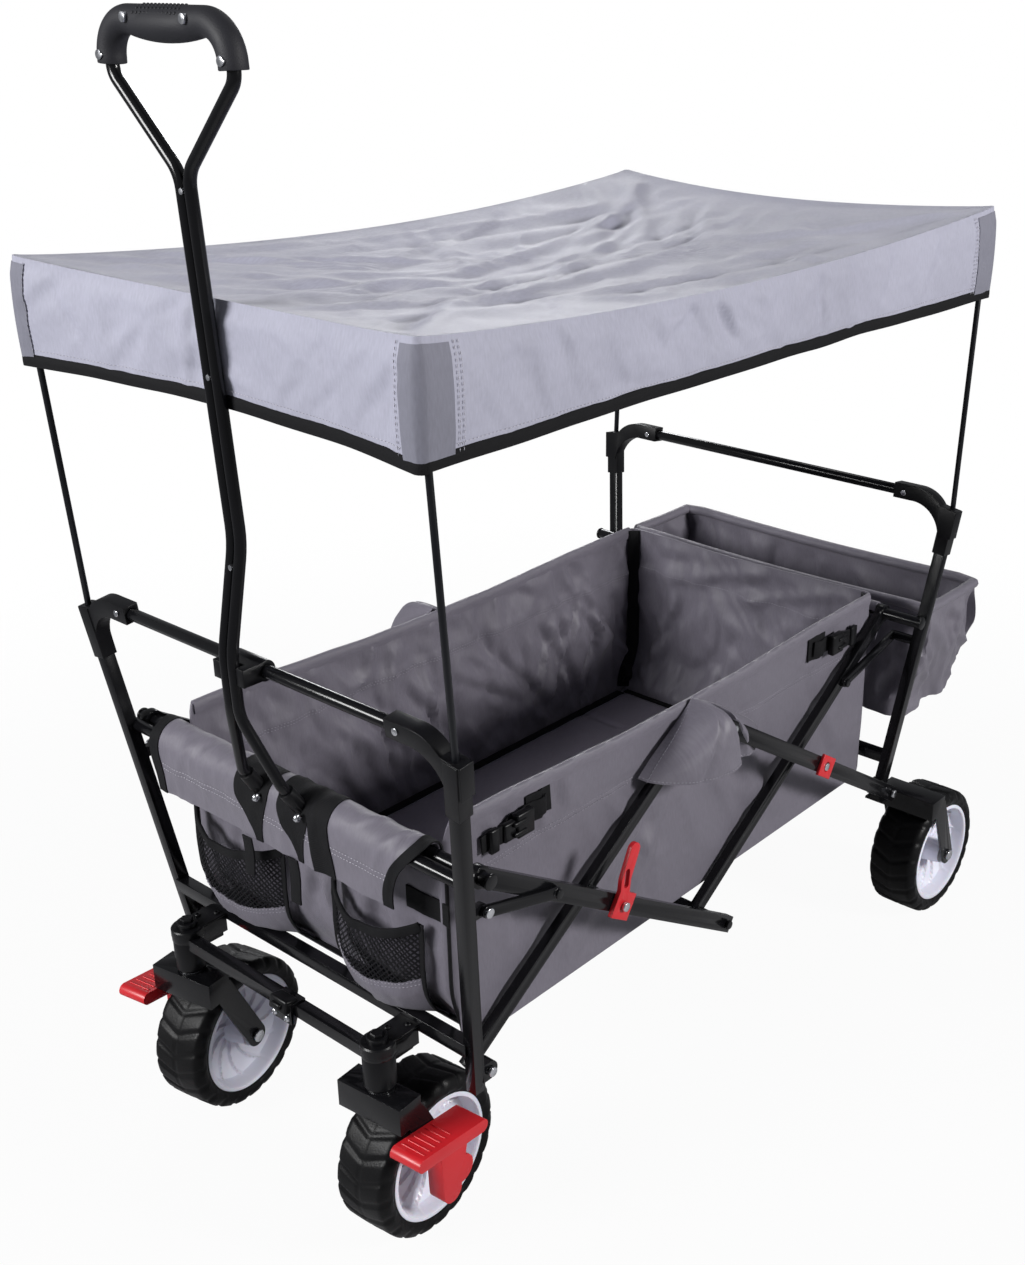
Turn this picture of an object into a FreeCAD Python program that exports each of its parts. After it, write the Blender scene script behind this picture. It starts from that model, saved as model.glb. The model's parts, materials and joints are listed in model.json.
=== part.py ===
import FreeCAD, Part
import math
import os

# Folding kids wagon. Units are millimetres, +Z is up, the wagon's length runs along Y with its
# pulling end at -Y, and X is its width. The origin is under the middle of the whole wagon, on the floor.

V = FreeCAD.Vector
X_AXIS = V(1, 0, 0)
Y_AXIS = V(0, 1, 0)
Z_AXIS = V(0, 0, 1)

# ---- driving dimensions ----
running_gap = 0.05        # radial clearance of a pin in a turning piece
lean_gap = 1.2            # from a post's foot to a bolt head beside it, as the post leans over
seat_gap = 0.3            # clearance between a soft piece and what carries it
side_gap = 1.0            # clearance between flat pieces that swing past each other
strut_gap = 0.5           # between a strut and the bar beside it

# wheels
tyre_radius = 86.0
tyre_width = 67.0
rim_radius = 67.0         # outside of the plastic rim, where the tyre sits
rim_wall = 5.0
hub_radius = 15.0
hub_length = 66.0
web_thickness = 5.0
axle_radius = 4.0
axle_head_radius = 7.0
axle_head = 4.0

# side linkage, seen from the side: every bar stands at the same angle
bar_angle = 32.7
bar_height = 19.0         # outer bars
slim_bar_height = 15.0    # inner bars
bar_thickness = 10.0
bar_wall = 1.6
bar_overhang = 9.0        # a bar is cut square this far beyond its pivot
rest_rail_half_length = 150.0
rest_rail_half_width = 9.0
floor_rise = 30.95        # basket floor above the middle cross tube
cross_shift = -1.0        # the crossing lies this far outside the middle of a half
foot_inset = 21.3         # a bar's foot stands this far inside the rim tube
rim_half_span = 384.0
inner_bar_x = 204.5       # middle of the inner layer of bars
layer_step = 40.5         # from the inner layer to the outer one; the posts stand between them
pin_radius = 3.5
pin_head_radius = 5.0
pin_head = 3.5
pin_head_low = 1.2        # thin head where two layers run close
collar_radius = 6.0       # spacer between two layers of bars
strut_height = 12.0
strut_thickness = 5.0
strut_reach = 117.0       # from a crossing up the bar to the strut's end
front_strut_inset = 20.4  # the front strut's pivot lies this far behind its post
strut_post_rise = 89.7    # a strut's post pivot above the bars' crossing
strut_boss_radius = 6.0

# end frames: posts lean out and away from the middle as they rise
post_size = 13.0
post_wall = 1.5
post_foot_x = 224.4
post_offset = 14.3        # the posts stand this far beyond the bars' feet
post_top_x = 268.0
post_lean_reach = 49.5    # how far a post leans out lengthways
post_rise = 374.5         # post top above its foot pivot
post_foot_drop = 20.5     # post below its foot pivot
push_bar_radius = 6.5
push_bar_wall = 1.3
push_bar_rise = 10.0       # push bar centre above the post's top
connector_size = 17.0
connector_drop = 57.0     # length of the connector's sleeve down the post
connector_reach = 78.0    # from the post's top in to the mouth that holds the push bar
connector_hold = 24.0     # how deep the push bar sits in the connector
connector_rise = 10.0     # top of the connector above the push bar's centre
lower_tube_offset = 7.3
tube_rise = 43.5           # top of the lower tube above the foot pivot
lower_tube_size = 14.0
mount_drop = 10.0
lower_tube_wall = 1.6
bracket_reach = 10.0

# rim tubes that the fabric hangs from
rim_tube_radius = 7.0
rim_tube_wall = 1.3
rim_tube_half_length = 260.0
tee_radius = 11.0

# front casters
caster_x = 150.0
caster_offset = 55.0      # caster axis beyond the posts' feet
caster_trail = 45.0
housing_radius = 15.0
fork_gap = 2.0
housing_height = 48.0
kingpin_radius = 6.0
kingpin_head_radius = 10.0
kingpin_head = 8.0
fork_half_width = 40.5
fork_sheet = 3.0
tyre_room = 18.0          # fork's top above the tyre
fork_front = 18.0         # front edge of the fork's box ahead of the kingpin
fork_back = 12.0
fork_skirt = 30.0
leg_half_width = 13.0
cross_beam_size = 13.0
mount_width = 26.0
mount_height = 18.0
rest_swivel_right = 5.0   # how far each caster is turned as the wagon stands
rest_swivel_left = 10.0
catch_x = 24.0            # small catch on the beam that holds the folded wagon shut
catch_width = 30.0

# rear wheels
rear_wheel_x = 249.0
rear_wheel_reach = 54.0
rear_box_offset = 27.0
rear_box_depth = 32.0
rear_box_height = 26.0    # the rear posts stand on the wheel brackets

# brake pedals
pedal_width = 37.0
pedal_front_reach = 73.6
pedal_front_rise = 66.0
pedal_back_reach = 13.0
pedal_back_rise = 52.0
pedal_thickness = 14.0
pedal_hub_radius = 15.0
pedal_gap = 1.0
pedal_leg_width = 20.0
pedal_leg_top = 44.0       # how far the leg spreads along the tread
pedal_leg_reach = 16.0     # the leg's end, forward of the axle and below it
pedal_leg_drop = 16.0
pedal_leg_radius = 13.0
pedal_bore = 15.0         # how deep the axle goes into the pedal

# pull handle
handle_bar_radius = 6.5  # cross bar that the handle turns on
handle_bar_offset = 18.0
handle_bar_wall = 1.3
yoke_x = 31.0
yoke_width = 15.0
yoke_radius = 10.0
socket_radius = 7.8
socket_length = 27.0
handle_tube_radius = 5.6
handle_tube_wall = 1.0
grip_reach = 22.5         # each reach below is measured lengthways from the top of the posts
handle_pair_x = 5.8
handle_fork_rise = 455.0  # each rise below is measured from the top of the posts
handle_spread_x = 80.0
handle_rise = 529.0
grip_rise = 42.5
grip_radius = 11.8
grip_corner_radius = 30.0
grip_belly = 14.2         # radius of the grip's swelling under the fingers
grip_belly_drop = 3.0
lean_reach = 20.2         # the tubes lean back from their fork down to the upper bend
upper_bend_reach = 3.0
upper_bend_rise = 132.0
lower_bend_reach = 24.5
lower_bend_rise = 29.0
meet_reach = 23.0         # where the two tubes come together above their sockets
meet_drop = 33.0
screw_radius = 4.0
middle_rivet_rise = 285.0
clip_width = 44.0
clip_wall = 4.0

# soft goods and floor
basket_bar_gap = 3.5       # cloth side wall to the inner bars
basket_rise = 25.3        # basket edge above the rim tubes
fabric_thickness = 2.5
board_thickness = 4.0
board_gap = 3.0
board_count = 4
pocket_depth = 24.0
pocket_rise = 27.0
pocket_height = 93.0
left_pocket_span = (-170.0, -34.0)
right_pocket_span = (42.0, 166.0)
bag_strap_drop = 22.0     # strap below the top of the bag
bag_side_inset = 4.6
bag_gap = 38.0
bag_depth = 140.0
bag_height = 157.0
bag_drop = 0.6

# canopy
pole_radius = 3.2
pole_head_drop = 1.5       # the roof slopes down beside a pole's head
pole_depth = 12.0         # how far a pole goes down into its connector
canopy_half_width = 278.0
canopy_reach = 32.5
canopy_rise = 257.0       # hem above the top of the posts
canopy_skirt = 105.0
canopy_end_bow = 30.0
canopy_side_bow = 12.0
canopy_side_sag = 23.0    # how far the roof edge droops at the middle of a long side
canopy_end_sag = 11.0
canopy_spans = 6

# red latches at the bar crossings
latch_arm = 57.0
latch_arm_width = 15.0
latch_plate = 29.0
latch_thickness = 5.0
clamp_width = 30.0
clamp_height = 26.0
clamp_thickness = 4.0

# ---- sizes that follow from the ones above ----
slope = math.radians(bar_angle)
foot_pivot_half_span = rim_half_span - foot_inset
cross_half_span = rim_half_span / 2 + cross_shift
low_arm = (foot_pivot_half_span - cross_half_span) / math.cos(slope)
inner_arm = cross_half_span / math.cos(slope)
upper_arm = (rim_half_span - cross_half_span) / math.cos(slope)
fork_top = 2 * tyre_radius + tyre_room
housing_bottom = fork_top + fork_gap
housing_top = housing_bottom + housing_height
mount_bottom = housing_top - mount_height
lower_tube_top = housing_top + mount_drop
foot_pivot_z = lower_tube_top - tube_rise
cross_height = foot_pivot_z + low_arm * math.sin(slope)
mid_low_z = cross_height - inner_arm * math.sin(slope)
mid_high_z = cross_height + inner_arm * math.sin(slope)
rim_z = cross_height + upper_arm * math.sin(slope)
outer_bar_x = inner_bar_x + layer_step
outer_face_x = outer_bar_x + bar_thickness / 2
inner_face_x = inner_bar_x - bar_thickness / 2
basket_half_width = inner_face_x - basket_bar_gap
front_strut_x = outer_face_x + strut_gap
rear_strut_x = inner_bar_x + bar_thickness / 2 + strut_gap
lower_tube_z = lower_tube_top - lower_tube_size / 2
post_foot_y = foot_pivot_half_span + post_offset
post_foot_z = foot_pivot_z
post_top_y = post_foot_y + post_lean_reach
post_top_z = foot_pivot_z + post_rise
post_bottom_z = foot_pivot_z - post_foot_drop
lower_tube_y = post_foot_y + lower_tube_offset
caster_y = post_foot_y + caster_offset
rear_box_y = post_foot_y + rear_box_offset
rear_wheel_y = rear_box_y + rear_wheel_reach
rear_box_top = post_bottom_z
rear_box_bottom = rear_box_top - rear_box_height
handle_bar_y = rim_half_span + handle_bar_offset
handle_plane_y = post_top_y + grip_reach
handle_fork_z = post_top_z + handle_fork_rise
handle_top_z = post_top_z + handle_rise
handle_lean_y = post_top_y + lean_reach
handle_upper_bend_y = post_top_y + upper_bend_reach
handle_upper_bend_z = post_top_z + upper_bend_rise
handle_lower_bend_y = post_top_y + lower_bend_reach
handle_lower_bend_z = post_top_z + lower_bend_rise
handle_meet_y = post_top_y + meet_reach
handle_meet_z = post_top_z - meet_drop
basket_floor_height = mid_low_z + floor_rise
basket_top = rim_z + basket_rise
push_bar_z = post_top_z + push_bar_rise
basket_bottom = basket_floor_height
pocket_bottom = basket_bottom + pocket_rise
pocket_top = pocket_bottom + pocket_height
bag_front = rim_half_span + bag_gap
bag_top = rim_z - bag_drop
bag_bottom = bag_top - bag_height
canopy_half_length = post_top_y + canopy_reach
canopy_hem = post_top_z + canopy_rise
canopy_top = canopy_hem + canopy_skirt
basket_half_length = rim_half_span - rim_tube_radius - seat_gap - 0.1
rear_axle_z = tyre_radius


def post_at(z):
    """Centre of the right-hand post of an end frame at height z, as (x, distance from the middle)."""
    share = (z - post_foot_z) / (post_top_z - post_foot_z)
    x = post_foot_x + share * (post_top_x - post_foot_x)
    y = post_foot_y + share * (post_top_y - post_foot_y)
    return x, y


strut_post_z = cross_height + strut_post_rise
rear_strut_post_y = post_at(strut_post_z)[1]
front_strut_post_y = post_at(strut_post_z)[1] - front_strut_inset
bag_half_width = post_at(bag_top - bag_strap_drop)[0] - bag_side_inset
strut_bar_y = cross_half_span + strut_reach * math.cos(slope)
strut_bar_z = cross_height + strut_reach * math.sin(slope)


# ---- shape helpers ----
def block(x0, x1, y0, y1, z0, z1):
    return Part.makeBox(x1 - x0, y1 - y0, z1 - z0, V(x0, y0, z0))


def rod(start, axis, radius, length):
    return Part.makeCylinder(radius, length, start, axis)


def pipe(start, axis, radius, wall, length):
    return rod(start, axis, radius, length).cut(rod(start, axis, radius - wall, length))


def along_x(x0, x1, y, z, radius):
    return rod(V(x0, y, z), X_AXIS, radius, x1 - x0)


def mirror_x(shape):
    return shape.mirror(V(0, 0, 0), X_AXIS)


def mirror_y(shape):
    return shape.mirror(V(0, 0, 0), Y_AXIS)


def plate(outline, start_x, thickness):
    """A flat plate across X from a closed outline of (y, z) points."""
    points = [V(start_x, y, z) for y, z in outline]
    face = Part.Face(Part.makePolygon(points + points[:1]))
    return face.extrude(V(thickness, 0, 0))


def link(start, end, x_middle, thickness, height):
    """A flat bar across X with round ends, from one (y, z) point to another."""
    (y0, z0), (y1, z1) = start, end
    length = math.hypot(y1 - y0, z1 - z0)
    turn = math.degrees(math.atan2(z1 - z0, y1 - y0))
    x0 = x_middle - thickness / 2
    body = block(x0, x0 + thickness, 0, length, -height / 2, height / 2)
    body = body.fuse(along_x(x0, x0 + thickness, 0, 0, height / 2))
    body = body.fuse(along_x(x0, x0 + thickness, length, 0, height / 2)).removeSplitter()
    body.rotate(V(0, 0, 0), X_AXIS, turn)
    body.translate(V(0, y0, z0))
    return body


def hollow_link(start, end, x_middle, beyond_end, height):
    """A bar of rectangular tube, open at its tips and cut square a little beyond its pivots."""
    (y0, z0), (y1, z1) = start, end
    turn = math.degrees(math.atan2(z1 - z0, y1 - y0))
    length = math.hypot(y1 - y0, z1 - z0)
    side = bar_thickness / 2
    rise = height / 2
    inside = side - bar_wall
    low = rise - bar_wall
    body = block(x_middle - side, x_middle + side, -bar_overhang, length + beyond_end, -rise, rise)
    body = body.cut(
        block(x_middle - inside, x_middle + inside, -bar_overhang - 1, length + height, -low, low)
    )
    body.rotate(V(0, 0, 0), X_AXIS, turn)
    body.translate(V(0, y0, z0))
    return body


def leaning_box(low, high, width):
    """A solid square post between two points."""
    axis = high - low
    body = block(-width / 2, width / 2, -width / 2, width / 2, 0, axis.Length)
    body.Placement = FreeCAD.Placement(low, FreeCAD.Rotation(Z_AXIS, axis))
    return body


def arc_through(points):
    return Part.Arc(*points).toShape()


def pin_along_x(x0, x1, y, z, radius, head_at_high):
    """A pin with one round head beyond its high or its low end."""
    body = along_x(x0, x1, y, z, radius)
    if head_at_high:
        return body.fuse(along_x(x1, x1 + pin_head, y, z, pin_head_radius))
    return body.fuse(along_x(x0 - pin_head, x0, y, z, pin_head_radius))


def both_sides(shape):
    return [shape, mirror_x(shape)]


def rounded_path(points, radii):
    """Straight runs joined by tangent arcs."""
    edges = []
    start = points[0]
    for before, corner, after, radius in zip(points, points[1:], points[2:], radii):
        into = (corner - before).normalize()
        out = (after - corner).normalize()
        half_turn = into.getAngle(out) / 2
        reach = radius * math.tan(half_turn)
        first = corner - into * reach
        last = corner + out * reach
        toward = (out - into).normalize()
        middle = corner + toward * (radius / math.cos(half_turn) - radius)
        edges.append(Part.makeLine(start, first))
        edges.append(arc_through([first, middle, last]))
        start = last
    edges.append(Part.makeLine(start, points[-1]))
    return Part.Wire(edges)


def swept(path, radius, wall):
    """A round tube along a path; no wall makes it solid."""
    edge = path.Edges[0]
    start = edge.valueAt(edge.FirstParameter)
    axis = edge.tangentAt(edge.FirstParameter)
    outer = path.makePipeShell([Part.Wire(Part.makeCircle(radius, start, axis))], True, False)
    if not wall:
        return outer
    inner = path.makePipeShell([Part.Wire(Part.makeCircle(radius - wall, start, axis))], True, False)
    return outer.cut(inner)


parts = {}


# ---- wheels ----
def tyre_at(x, y, z):
    """A tyre with a slightly crowned tread and rounded shoulders, its axle along X."""
    half = tyre_width / 2
    crown = 1.5
    shoulder = 9.0
    side = half - 2.0
    outer = [
        V(-side, 0, rim_radius),
        V(-half, 0, tyre_radius - shoulder - crown),
        V(-half + shoulder * 0.8, 0, tyre_radius - crown),
        V(0, 0, tyre_radius),
        V(half - shoulder * 0.8, 0, tyre_radius - crown),
        V(half, 0, tyre_radius - shoulder - crown),
        V(side, 0, rim_radius),
    ]
    edges = [Part.makeLine(outer[0], outer[1])]
    edges.append(arc_through([outer[1], V(-half + 2.2, 0, tyre_radius - 4.2), outer[2]]))
    edges.append(arc_through([outer[2], outer[3], outer[4]]))
    edges.append(arc_through([outer[4], V(half - 2.2, 0, tyre_radius - 4.2), outer[5]]))
    edges.append(Part.makeLine(outer[5], outer[6]))
    edges.append(Part.makeLine(outer[6], outer[0]))
    body = Part.Face(Part.Wire(edges)).revolve(V(0, 0, 0), X_AXIS, 360)
    body.translate(V(x, y, z))
    return body


def hub_at(x, y, z):
    """A plastic wheel centre: rim, web and a boss with the axle's bore, dished on both sides."""
    half = tyre_width / 2 - 2.0
    rim = pipe(V(-half, 0, 0), X_AXIS, rim_radius, rim_wall, 2 * half)
    boss = along_x(-hub_length / 2, hub_length / 2, 0, 0, hub_radius)
    web = along_x(-web_thickness / 2, web_thickness / 2, 0, 0, rim_radius - 1)
    body = rim.fuse([boss, web])
    bore = along_x(-hub_length, hub_length, 0, 0, axle_radius + running_gap)
    body = body.cut(bore)
    body.translate(V(x, y, z))
    return body


def axle_bolt(x, y, z, half_width, extra):
    """An axle bolt across a fork: a head on its inner side, `extra` of thread beyond the outer one."""
    body = along_x(x - half_width, x + half_width + extra, y, z, axle_radius)
    head = along_x(x - half_width - axle_head, x - half_width, y, z, axle_head_radius)
    nut = along_x(x + half_width + extra, x + half_width + extra + axle_head, y, z, axle_head_radius)
    return body.fuse([head, nut])


def leg(x0, top_y, top_z, axle_y, axle_z):
    """A flat fork leg from its box down to the axle, with a round eye."""
    angle = math.atan2(top_z - axle_z, top_y - axle_y)
    side_y = leg_half_width * math.sin(angle)
    side_z = leg_half_width * math.cos(angle)
    outline = [
        (top_y + side_y, top_z - side_z),
        (top_y - side_y, top_z + side_z),
        (axle_y - side_y, axle_z + side_z),
        (axle_y + side_y, axle_z - side_z),
    ]
    body = plate(outline, x0, fork_sheet)
    body = body.fuse(along_x(x0, x0 + fork_sheet, axle_y, axle_z, leg_half_width))
    return body


# front caster, pointing straight back; each side is then turned to its resting angle
wheel_y = -caster_y + caster_trail
box_front = -caster_y - fork_front
box_back = -caster_y + fork_back
x_low = caster_x - fork_half_width
x_high = caster_x + fork_half_width
fork = block(x_low, x_high, box_front, box_back, fork_top - fork_sheet, fork_top)
fork = fork.fuse(block(x_low, x_high, box_front, box_front + fork_sheet, fork_top - fork_skirt, fork_top))
for side_x in (x_low, x_high - fork_sheet):
    fork = fork.fuse(
        block(side_x, side_x + fork_sheet, box_front, box_back, fork_top - fork_skirt, fork_top)
    )
    fork = fork.fuse(leg(side_x, -caster_y + 2, fork_top - fork_skirt / 2, wheel_y, tyre_radius))
fork = fork.cut(block(x_low - 1, x_high + 1, box_front - 40, box_back + 40, fork_top, fork_top + 60))
fork = fork.cut(along_x(x_low - 1, x_high + 1, wheel_y, tyre_radius, axle_radius + running_gap))
fork = fork.cut(rod(V(caster_x, -caster_y, fork_top - 20), Z_AXIS, kingpin_radius + running_gap, 40))
fork = fork.removeSplitter()

kingpin_top = housing_top + side_gap
kingpin_foot = fork_top - fork_sheet - 4
kingpin = rod(V(caster_x, -caster_y, kingpin_foot), Z_AXIS, kingpin_radius, kingpin_top - kingpin_foot)
kingpin = kingpin.fuse(rod(V(caster_x, -caster_y, kingpin_top), Z_AXIS, kingpin_head_radius, kingpin_head))
kingpin = kingpin.fuse(rod(V(caster_x, -caster_y, kingpin_foot), Z_AXIS, 10.0, 4.0))
washer_height = housing_bottom - fork_top - 2 * running_gap
kingpin = kingpin.fuse(
    rod(V(caster_x, -caster_y, fork_top + running_gap), Z_AXIS, housing_radius - 1, washer_height)
)
pedal_x = x_high + pedal_gap
axle_reach = fork_half_width + pedal_gap + pedal_bore - 1.0
axle = along_x(caster_x - fork_half_width, caster_x + axle_reach, wheel_y, tyre_radius, axle_radius)
axle_head_x = caster_x - fork_half_width - axle_head
axle = axle.fuse(along_x(axle_head_x, axle_head_x + axle_head, wheel_y, tyre_radius, axle_head_radius))


def make_pedal():
    """A foot pedal that rocks on the end of the axle: a tread on a leg that narrows past its hub."""
    front = (wheel_y - pedal_front_reach, tyre_radius + pedal_front_rise)
    back = (wheel_y + pedal_back_reach, tyre_radius + pedal_back_rise)
    middle = pedal_x + pedal_width / 2
    bar = link(front, back, middle, pedal_width, pedal_thickness)
    foot = (wheel_y - pedal_leg_reach, tyre_radius - pedal_leg_drop)
    leg_end = along_x(pedal_x, pedal_x + pedal_leg_width, foot[0], foot[1], pedal_leg_radius)
    corners = [
        V(pedal_x, foot[0] - pedal_leg_radius, foot[1]),
        V(pedal_x, back[0] - pedal_leg_top, back[1]),
        V(pedal_x, back[0], back[1]),
        V(pedal_x, foot[0] + pedal_leg_radius, foot[1]),
    ]
    leg = Part.Face(Part.makePolygon(corners + corners[:1])).extrude(V(pedal_leg_width, 0, 0))
    stalk = leg.fuse(leg_end)
    hub = along_x(pedal_x, pedal_x + pedal_leg_width, wheel_y, tyre_radius, pedal_hub_radius)
    body = bar.fuse([stalk, hub])
    return body.cut(
        along_x(pedal_x - 1, pedal_x + pedal_bore, wheel_y, tyre_radius, axle_radius + running_gap)
    )


pedal = make_pedal()
front_tyre = tyre_at(caster_x, wheel_y, tyre_radius)
front_hub = hub_at(caster_x, wheel_y, tyre_radius)


def right_side(shape):
    return shape.copy()


def left_side(shape):
    return mirror_x(shape)


sides = (("right", right_side, 1, rest_swivel_right), ("left", left_side, -1, rest_swivel_left))


def swivelled(shape, sign, angle):
    turned = shape.copy()
    turned.rotate(V(sign * caster_x, -caster_y, 0), Z_AXIS, angle)
    return turned


for side, place, sign, swivel in sides:
    parts["caster_fork_" + side] = swivelled(place(fork), sign, swivel)
    parts["caster_pins_" + side] = swivelled(Part.makeCompound([place(kingpin), place(axle)]), sign, swivel)
    parts["brake_pedal_" + side] = swivelled(place(pedal), sign, swivel)
    parts["front_tyre_" + side] = swivelled(place(front_tyre), sign, swivel)
    parts["front_hub_" + side] = swivelled(place(front_hub), sign, swivel)

# rear wheel bracket, right side: a box over the wheel's front, two legs, and a shelf under the post
rear_low = rear_wheel_x - fork_half_width
rear_high = rear_wheel_x + fork_half_width
rear_box_y1 = rear_box_y + rear_box_depth
shelf_y = post_foot_y - post_size / 2 - 3
rear_fork = block(rear_low, rear_high, rear_box_y, rear_box_y1, rear_box_top - fork_sheet, rear_box_top)
rear_fork = rear_fork.fuse(
    block(rear_low, rear_high, rear_box_y, rear_box_y + fork_sheet, rear_box_bottom, rear_box_top)
)
rear_fork = rear_fork.fuse(
    block(
        rear_low, post_foot_x + post_size / 2 + 4, shelf_y, rear_box_y + 1, rear_box_top - fork_sheet,
        rear_box_top,
    )
)
for side_x in (rear_low, rear_high - fork_sheet):
    rear_fork = rear_fork.fuse(
        block(side_x, side_x + fork_sheet, rear_box_y, rear_box_y1, rear_box_bottom, rear_box_top)
    )
    rear_fork = rear_fork.fuse(
        leg(side_x, rear_box_y + 22, rear_box_bottom + 14, rear_wheel_y, rear_axle_z)
    )
rear_fork = rear_fork.cut(
    along_x(rear_low - 1, rear_high + 1, rear_wheel_y, rear_axle_z, axle_radius)
).removeSplitter()
rear_axle = axle_bolt(rear_wheel_x, rear_wheel_y, rear_axle_z, fork_half_width, 0.0)
rear_tyre = tyre_at(rear_wheel_x, rear_wheel_y, rear_axle_z)
rear_hub = hub_at(rear_wheel_x, rear_wheel_y, rear_axle_z)
parts["rear_forks"] = Part.makeCompound(both_sides(rear_fork))
for side, place, sign, swivel in sides:
    parts["rear_tyre_" + side] = place(rear_tyre)
    parts["rear_hub_" + side] = place(rear_hub)


# ---- end frames ----
def post_point(z):
    x, y = post_at(z)
    return V(x, y, z)


def make_post():
    """The right-hand rear post with the lug that carries the bar's foot pivot. Mirrored for the front."""
    low = post_point(post_bottom_z - 10)
    high = post_point(post_top_z - pole_depth - 2)
    outer = leaning_box(low, high, post_size)
    inner = leaning_box(low, high, post_size - 2 * post_wall)
    trim = block(0, 2 * post_top_x, 0, 2 * post_top_y, post_bottom_z - 60, post_bottom_z)
    x0 = post_foot_x - post_size / 2
    x1 = post_foot_x + post_size / 2
    z0 = foot_pivot_z - bracket_reach
    z1 = foot_pivot_z + bracket_reach
    lug = block(x0, x1, foot_pivot_half_span, post_foot_y - post_size / 2 + 1.5, z0, z1)
    lug = lug.fuse(along_x(x0, x1, foot_pivot_half_span, foot_pivot_z, bracket_reach))
    body = outer.cut(inner).cut(trim).fuse(lug)
    return body.cut(along_x(0, 2 * post_top_x, foot_pivot_half_span, foot_pivot_z, pin_radius))


def with_front_boss(post):
    """Adds the lug behind the front post that the strut turns on."""
    x1 = front_strut_x - running_gap
    x0 = x1 - 8
    face_y = post_at(strut_post_z)[1] - post_size / 2 + 1.5
    z0 = strut_post_z - strut_boss_radius
    z1 = strut_post_z + strut_boss_radius
    lug = block(x0, x1, front_strut_post_y, face_y, z0, z1)
    lug = lug.fuse(along_x(x0, x1, front_strut_post_y, strut_post_z, strut_boss_radius))
    return post.fuse(lug).cut(along_x(x0 - 1, 2 * post_top_x, front_strut_post_y, strut_post_z, pin_radius))


def with_rear_boss(post):
    """Adds the boss on the inner side of the rear post that the strut turns on."""
    x0 = rear_strut_x + strut_thickness + running_gap
    boss = along_x(
        x0, post_at(strut_post_z)[0] - post_size / 2 + 0.8, rear_strut_post_y, strut_post_z,
        strut_boss_radius,
    )
    hole = along_x(0, x0 + 12, rear_strut_post_y, strut_post_z, pin_radius)
    return post.fuse(boss).cut(hole)


def make_connector():
    """The plastic gooseneck that joins post, push bar and canopy pole, for the right-hand rear corner."""
    sleeve = leaning_box(post_point(post_top_z - connector_drop), post_point(post_top_z), connector_size)
    half = connector_size / 2
    x_mouth = post_top_x - connector_reach
    z_top = push_bar_z + connector_rise
    z_low = push_bar_z - connector_rise + 1
    leg_z = post_top_z - 36
    shelf_in = V(post_top_x - 12, 0, post_top_z + 3)
    shelf_out = V(post_top_x + half + 2, 0, post_top_z - 1)
    leg_out = V(post_top_x + half - 1.5, 0, leg_z)
    leg_in = V(post_top_x - half - 2, 0, leg_z)
    top_end = V(x_mouth + 32, 0, z_top)
    low_end = V(x_mouth + 24, 0, z_low)
    corner = [
        Part.makeLine(V(x_mouth, 0, z_top), top_end),
        arc_through([top_end, V(post_top_x - 27, 0, z_top - 4.5), shelf_in]),
        Part.makeLine(shelf_in, shelf_out),
        Part.makeLine(shelf_out, leg_out),
        Part.makeLine(leg_out, leg_in),
        arc_through([leg_in, V(post_top_x - 20, 0, post_top_z - 13), low_end]),
        Part.makeLine(low_end, V(x_mouth, 0, z_low)),
        Part.makeLine(V(x_mouth, 0, z_low), V(x_mouth, 0, z_top)),
    ]
    arm = Part.Face(Part.Wire(corner)).extrude(V(0, connector_size, 0))
    arm.translate(V(0, post_top_y - half, 0))
    arm.rotate(V(0, post_top_y, push_bar_z), X_AXIS, -post_lean)
    body = sleeve.fuse(arm)
    low = post_point(post_top_z - connector_drop - 5)
    high = post_point(post_top_z - pole_depth - 2)
    body = body.cut(leaning_box(low, high, post_size + 2 * running_gap))
    bar_hole = along_x(
        x_mouth - 1, x_mouth + connector_hold, post_top_y, push_bar_z, push_bar_radius + running_gap
    )
    pole_hole = rod(pole_foot, pole_axis, pole_radius + running_gap, 60)
    return body.cut(bar_hole).cut(pole_hole).removeSplitter()


post_lean = math.degrees(math.atan2(post_top_y - post_foot_y, post_top_z - post_foot_z))
pole_foot = V(post_top_x, post_top_y, post_top_z - pole_depth)
pole_inset = fabric_thickness + pole_radius + 3.0
pole_head_z = canopy_top - fabric_thickness - seat_gap - pole_head_drop
pole_head = V(canopy_half_width - pole_inset, canopy_half_length - pole_inset, pole_head_z)
pole_axis = (pole_head - pole_foot).normalize()
pole = rod(pole_foot, pole_axis, pole_radius, (pole_head - pole_foot).Length)

connector = make_connector()
mouth_x = post_top_x - connector_reach
bar_end = mouth_x + connector_hold
push_bar = pipe(V(-bar_end, post_top_y, push_bar_z), X_AXIS, push_bar_radius, push_bar_wall, 2 * bar_end)
bolt_face = post_top_y - connector_size / 2
outer_face_y = post_top_y + connector_size / 2

lower_tube_reach = post_foot_x - post_size / 2
tube_y0 = lower_tube_y - lower_tube_size / 2
tube_y1 = lower_tube_y + lower_tube_size / 2
tube_z0 = lower_tube_top - lower_tube_size


def make_lower_tube():
    """A square tube between two posts, cut to fit against them."""
    reach = post_foot_x + 2
    outer = block(-reach, reach, tube_y0, tube_y1, tube_z0, lower_tube_top)
    w = lower_tube_wall
    inner = block(-reach - 1, reach + 1, tube_y0 + w, tube_y1 - w, tube_z0 + w, lower_tube_top - w)
    keep = outer.cut(inner)
    low = post_point(post_bottom_z - 30)
    high = post_point(post_top_z)
    for place in (right_side, left_side):
        keep = keep.cut(place(leaning_box(low, high, post_size)))
    return sorted(keep.Solids, key=lambda s: -s.Volume)[0]


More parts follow.
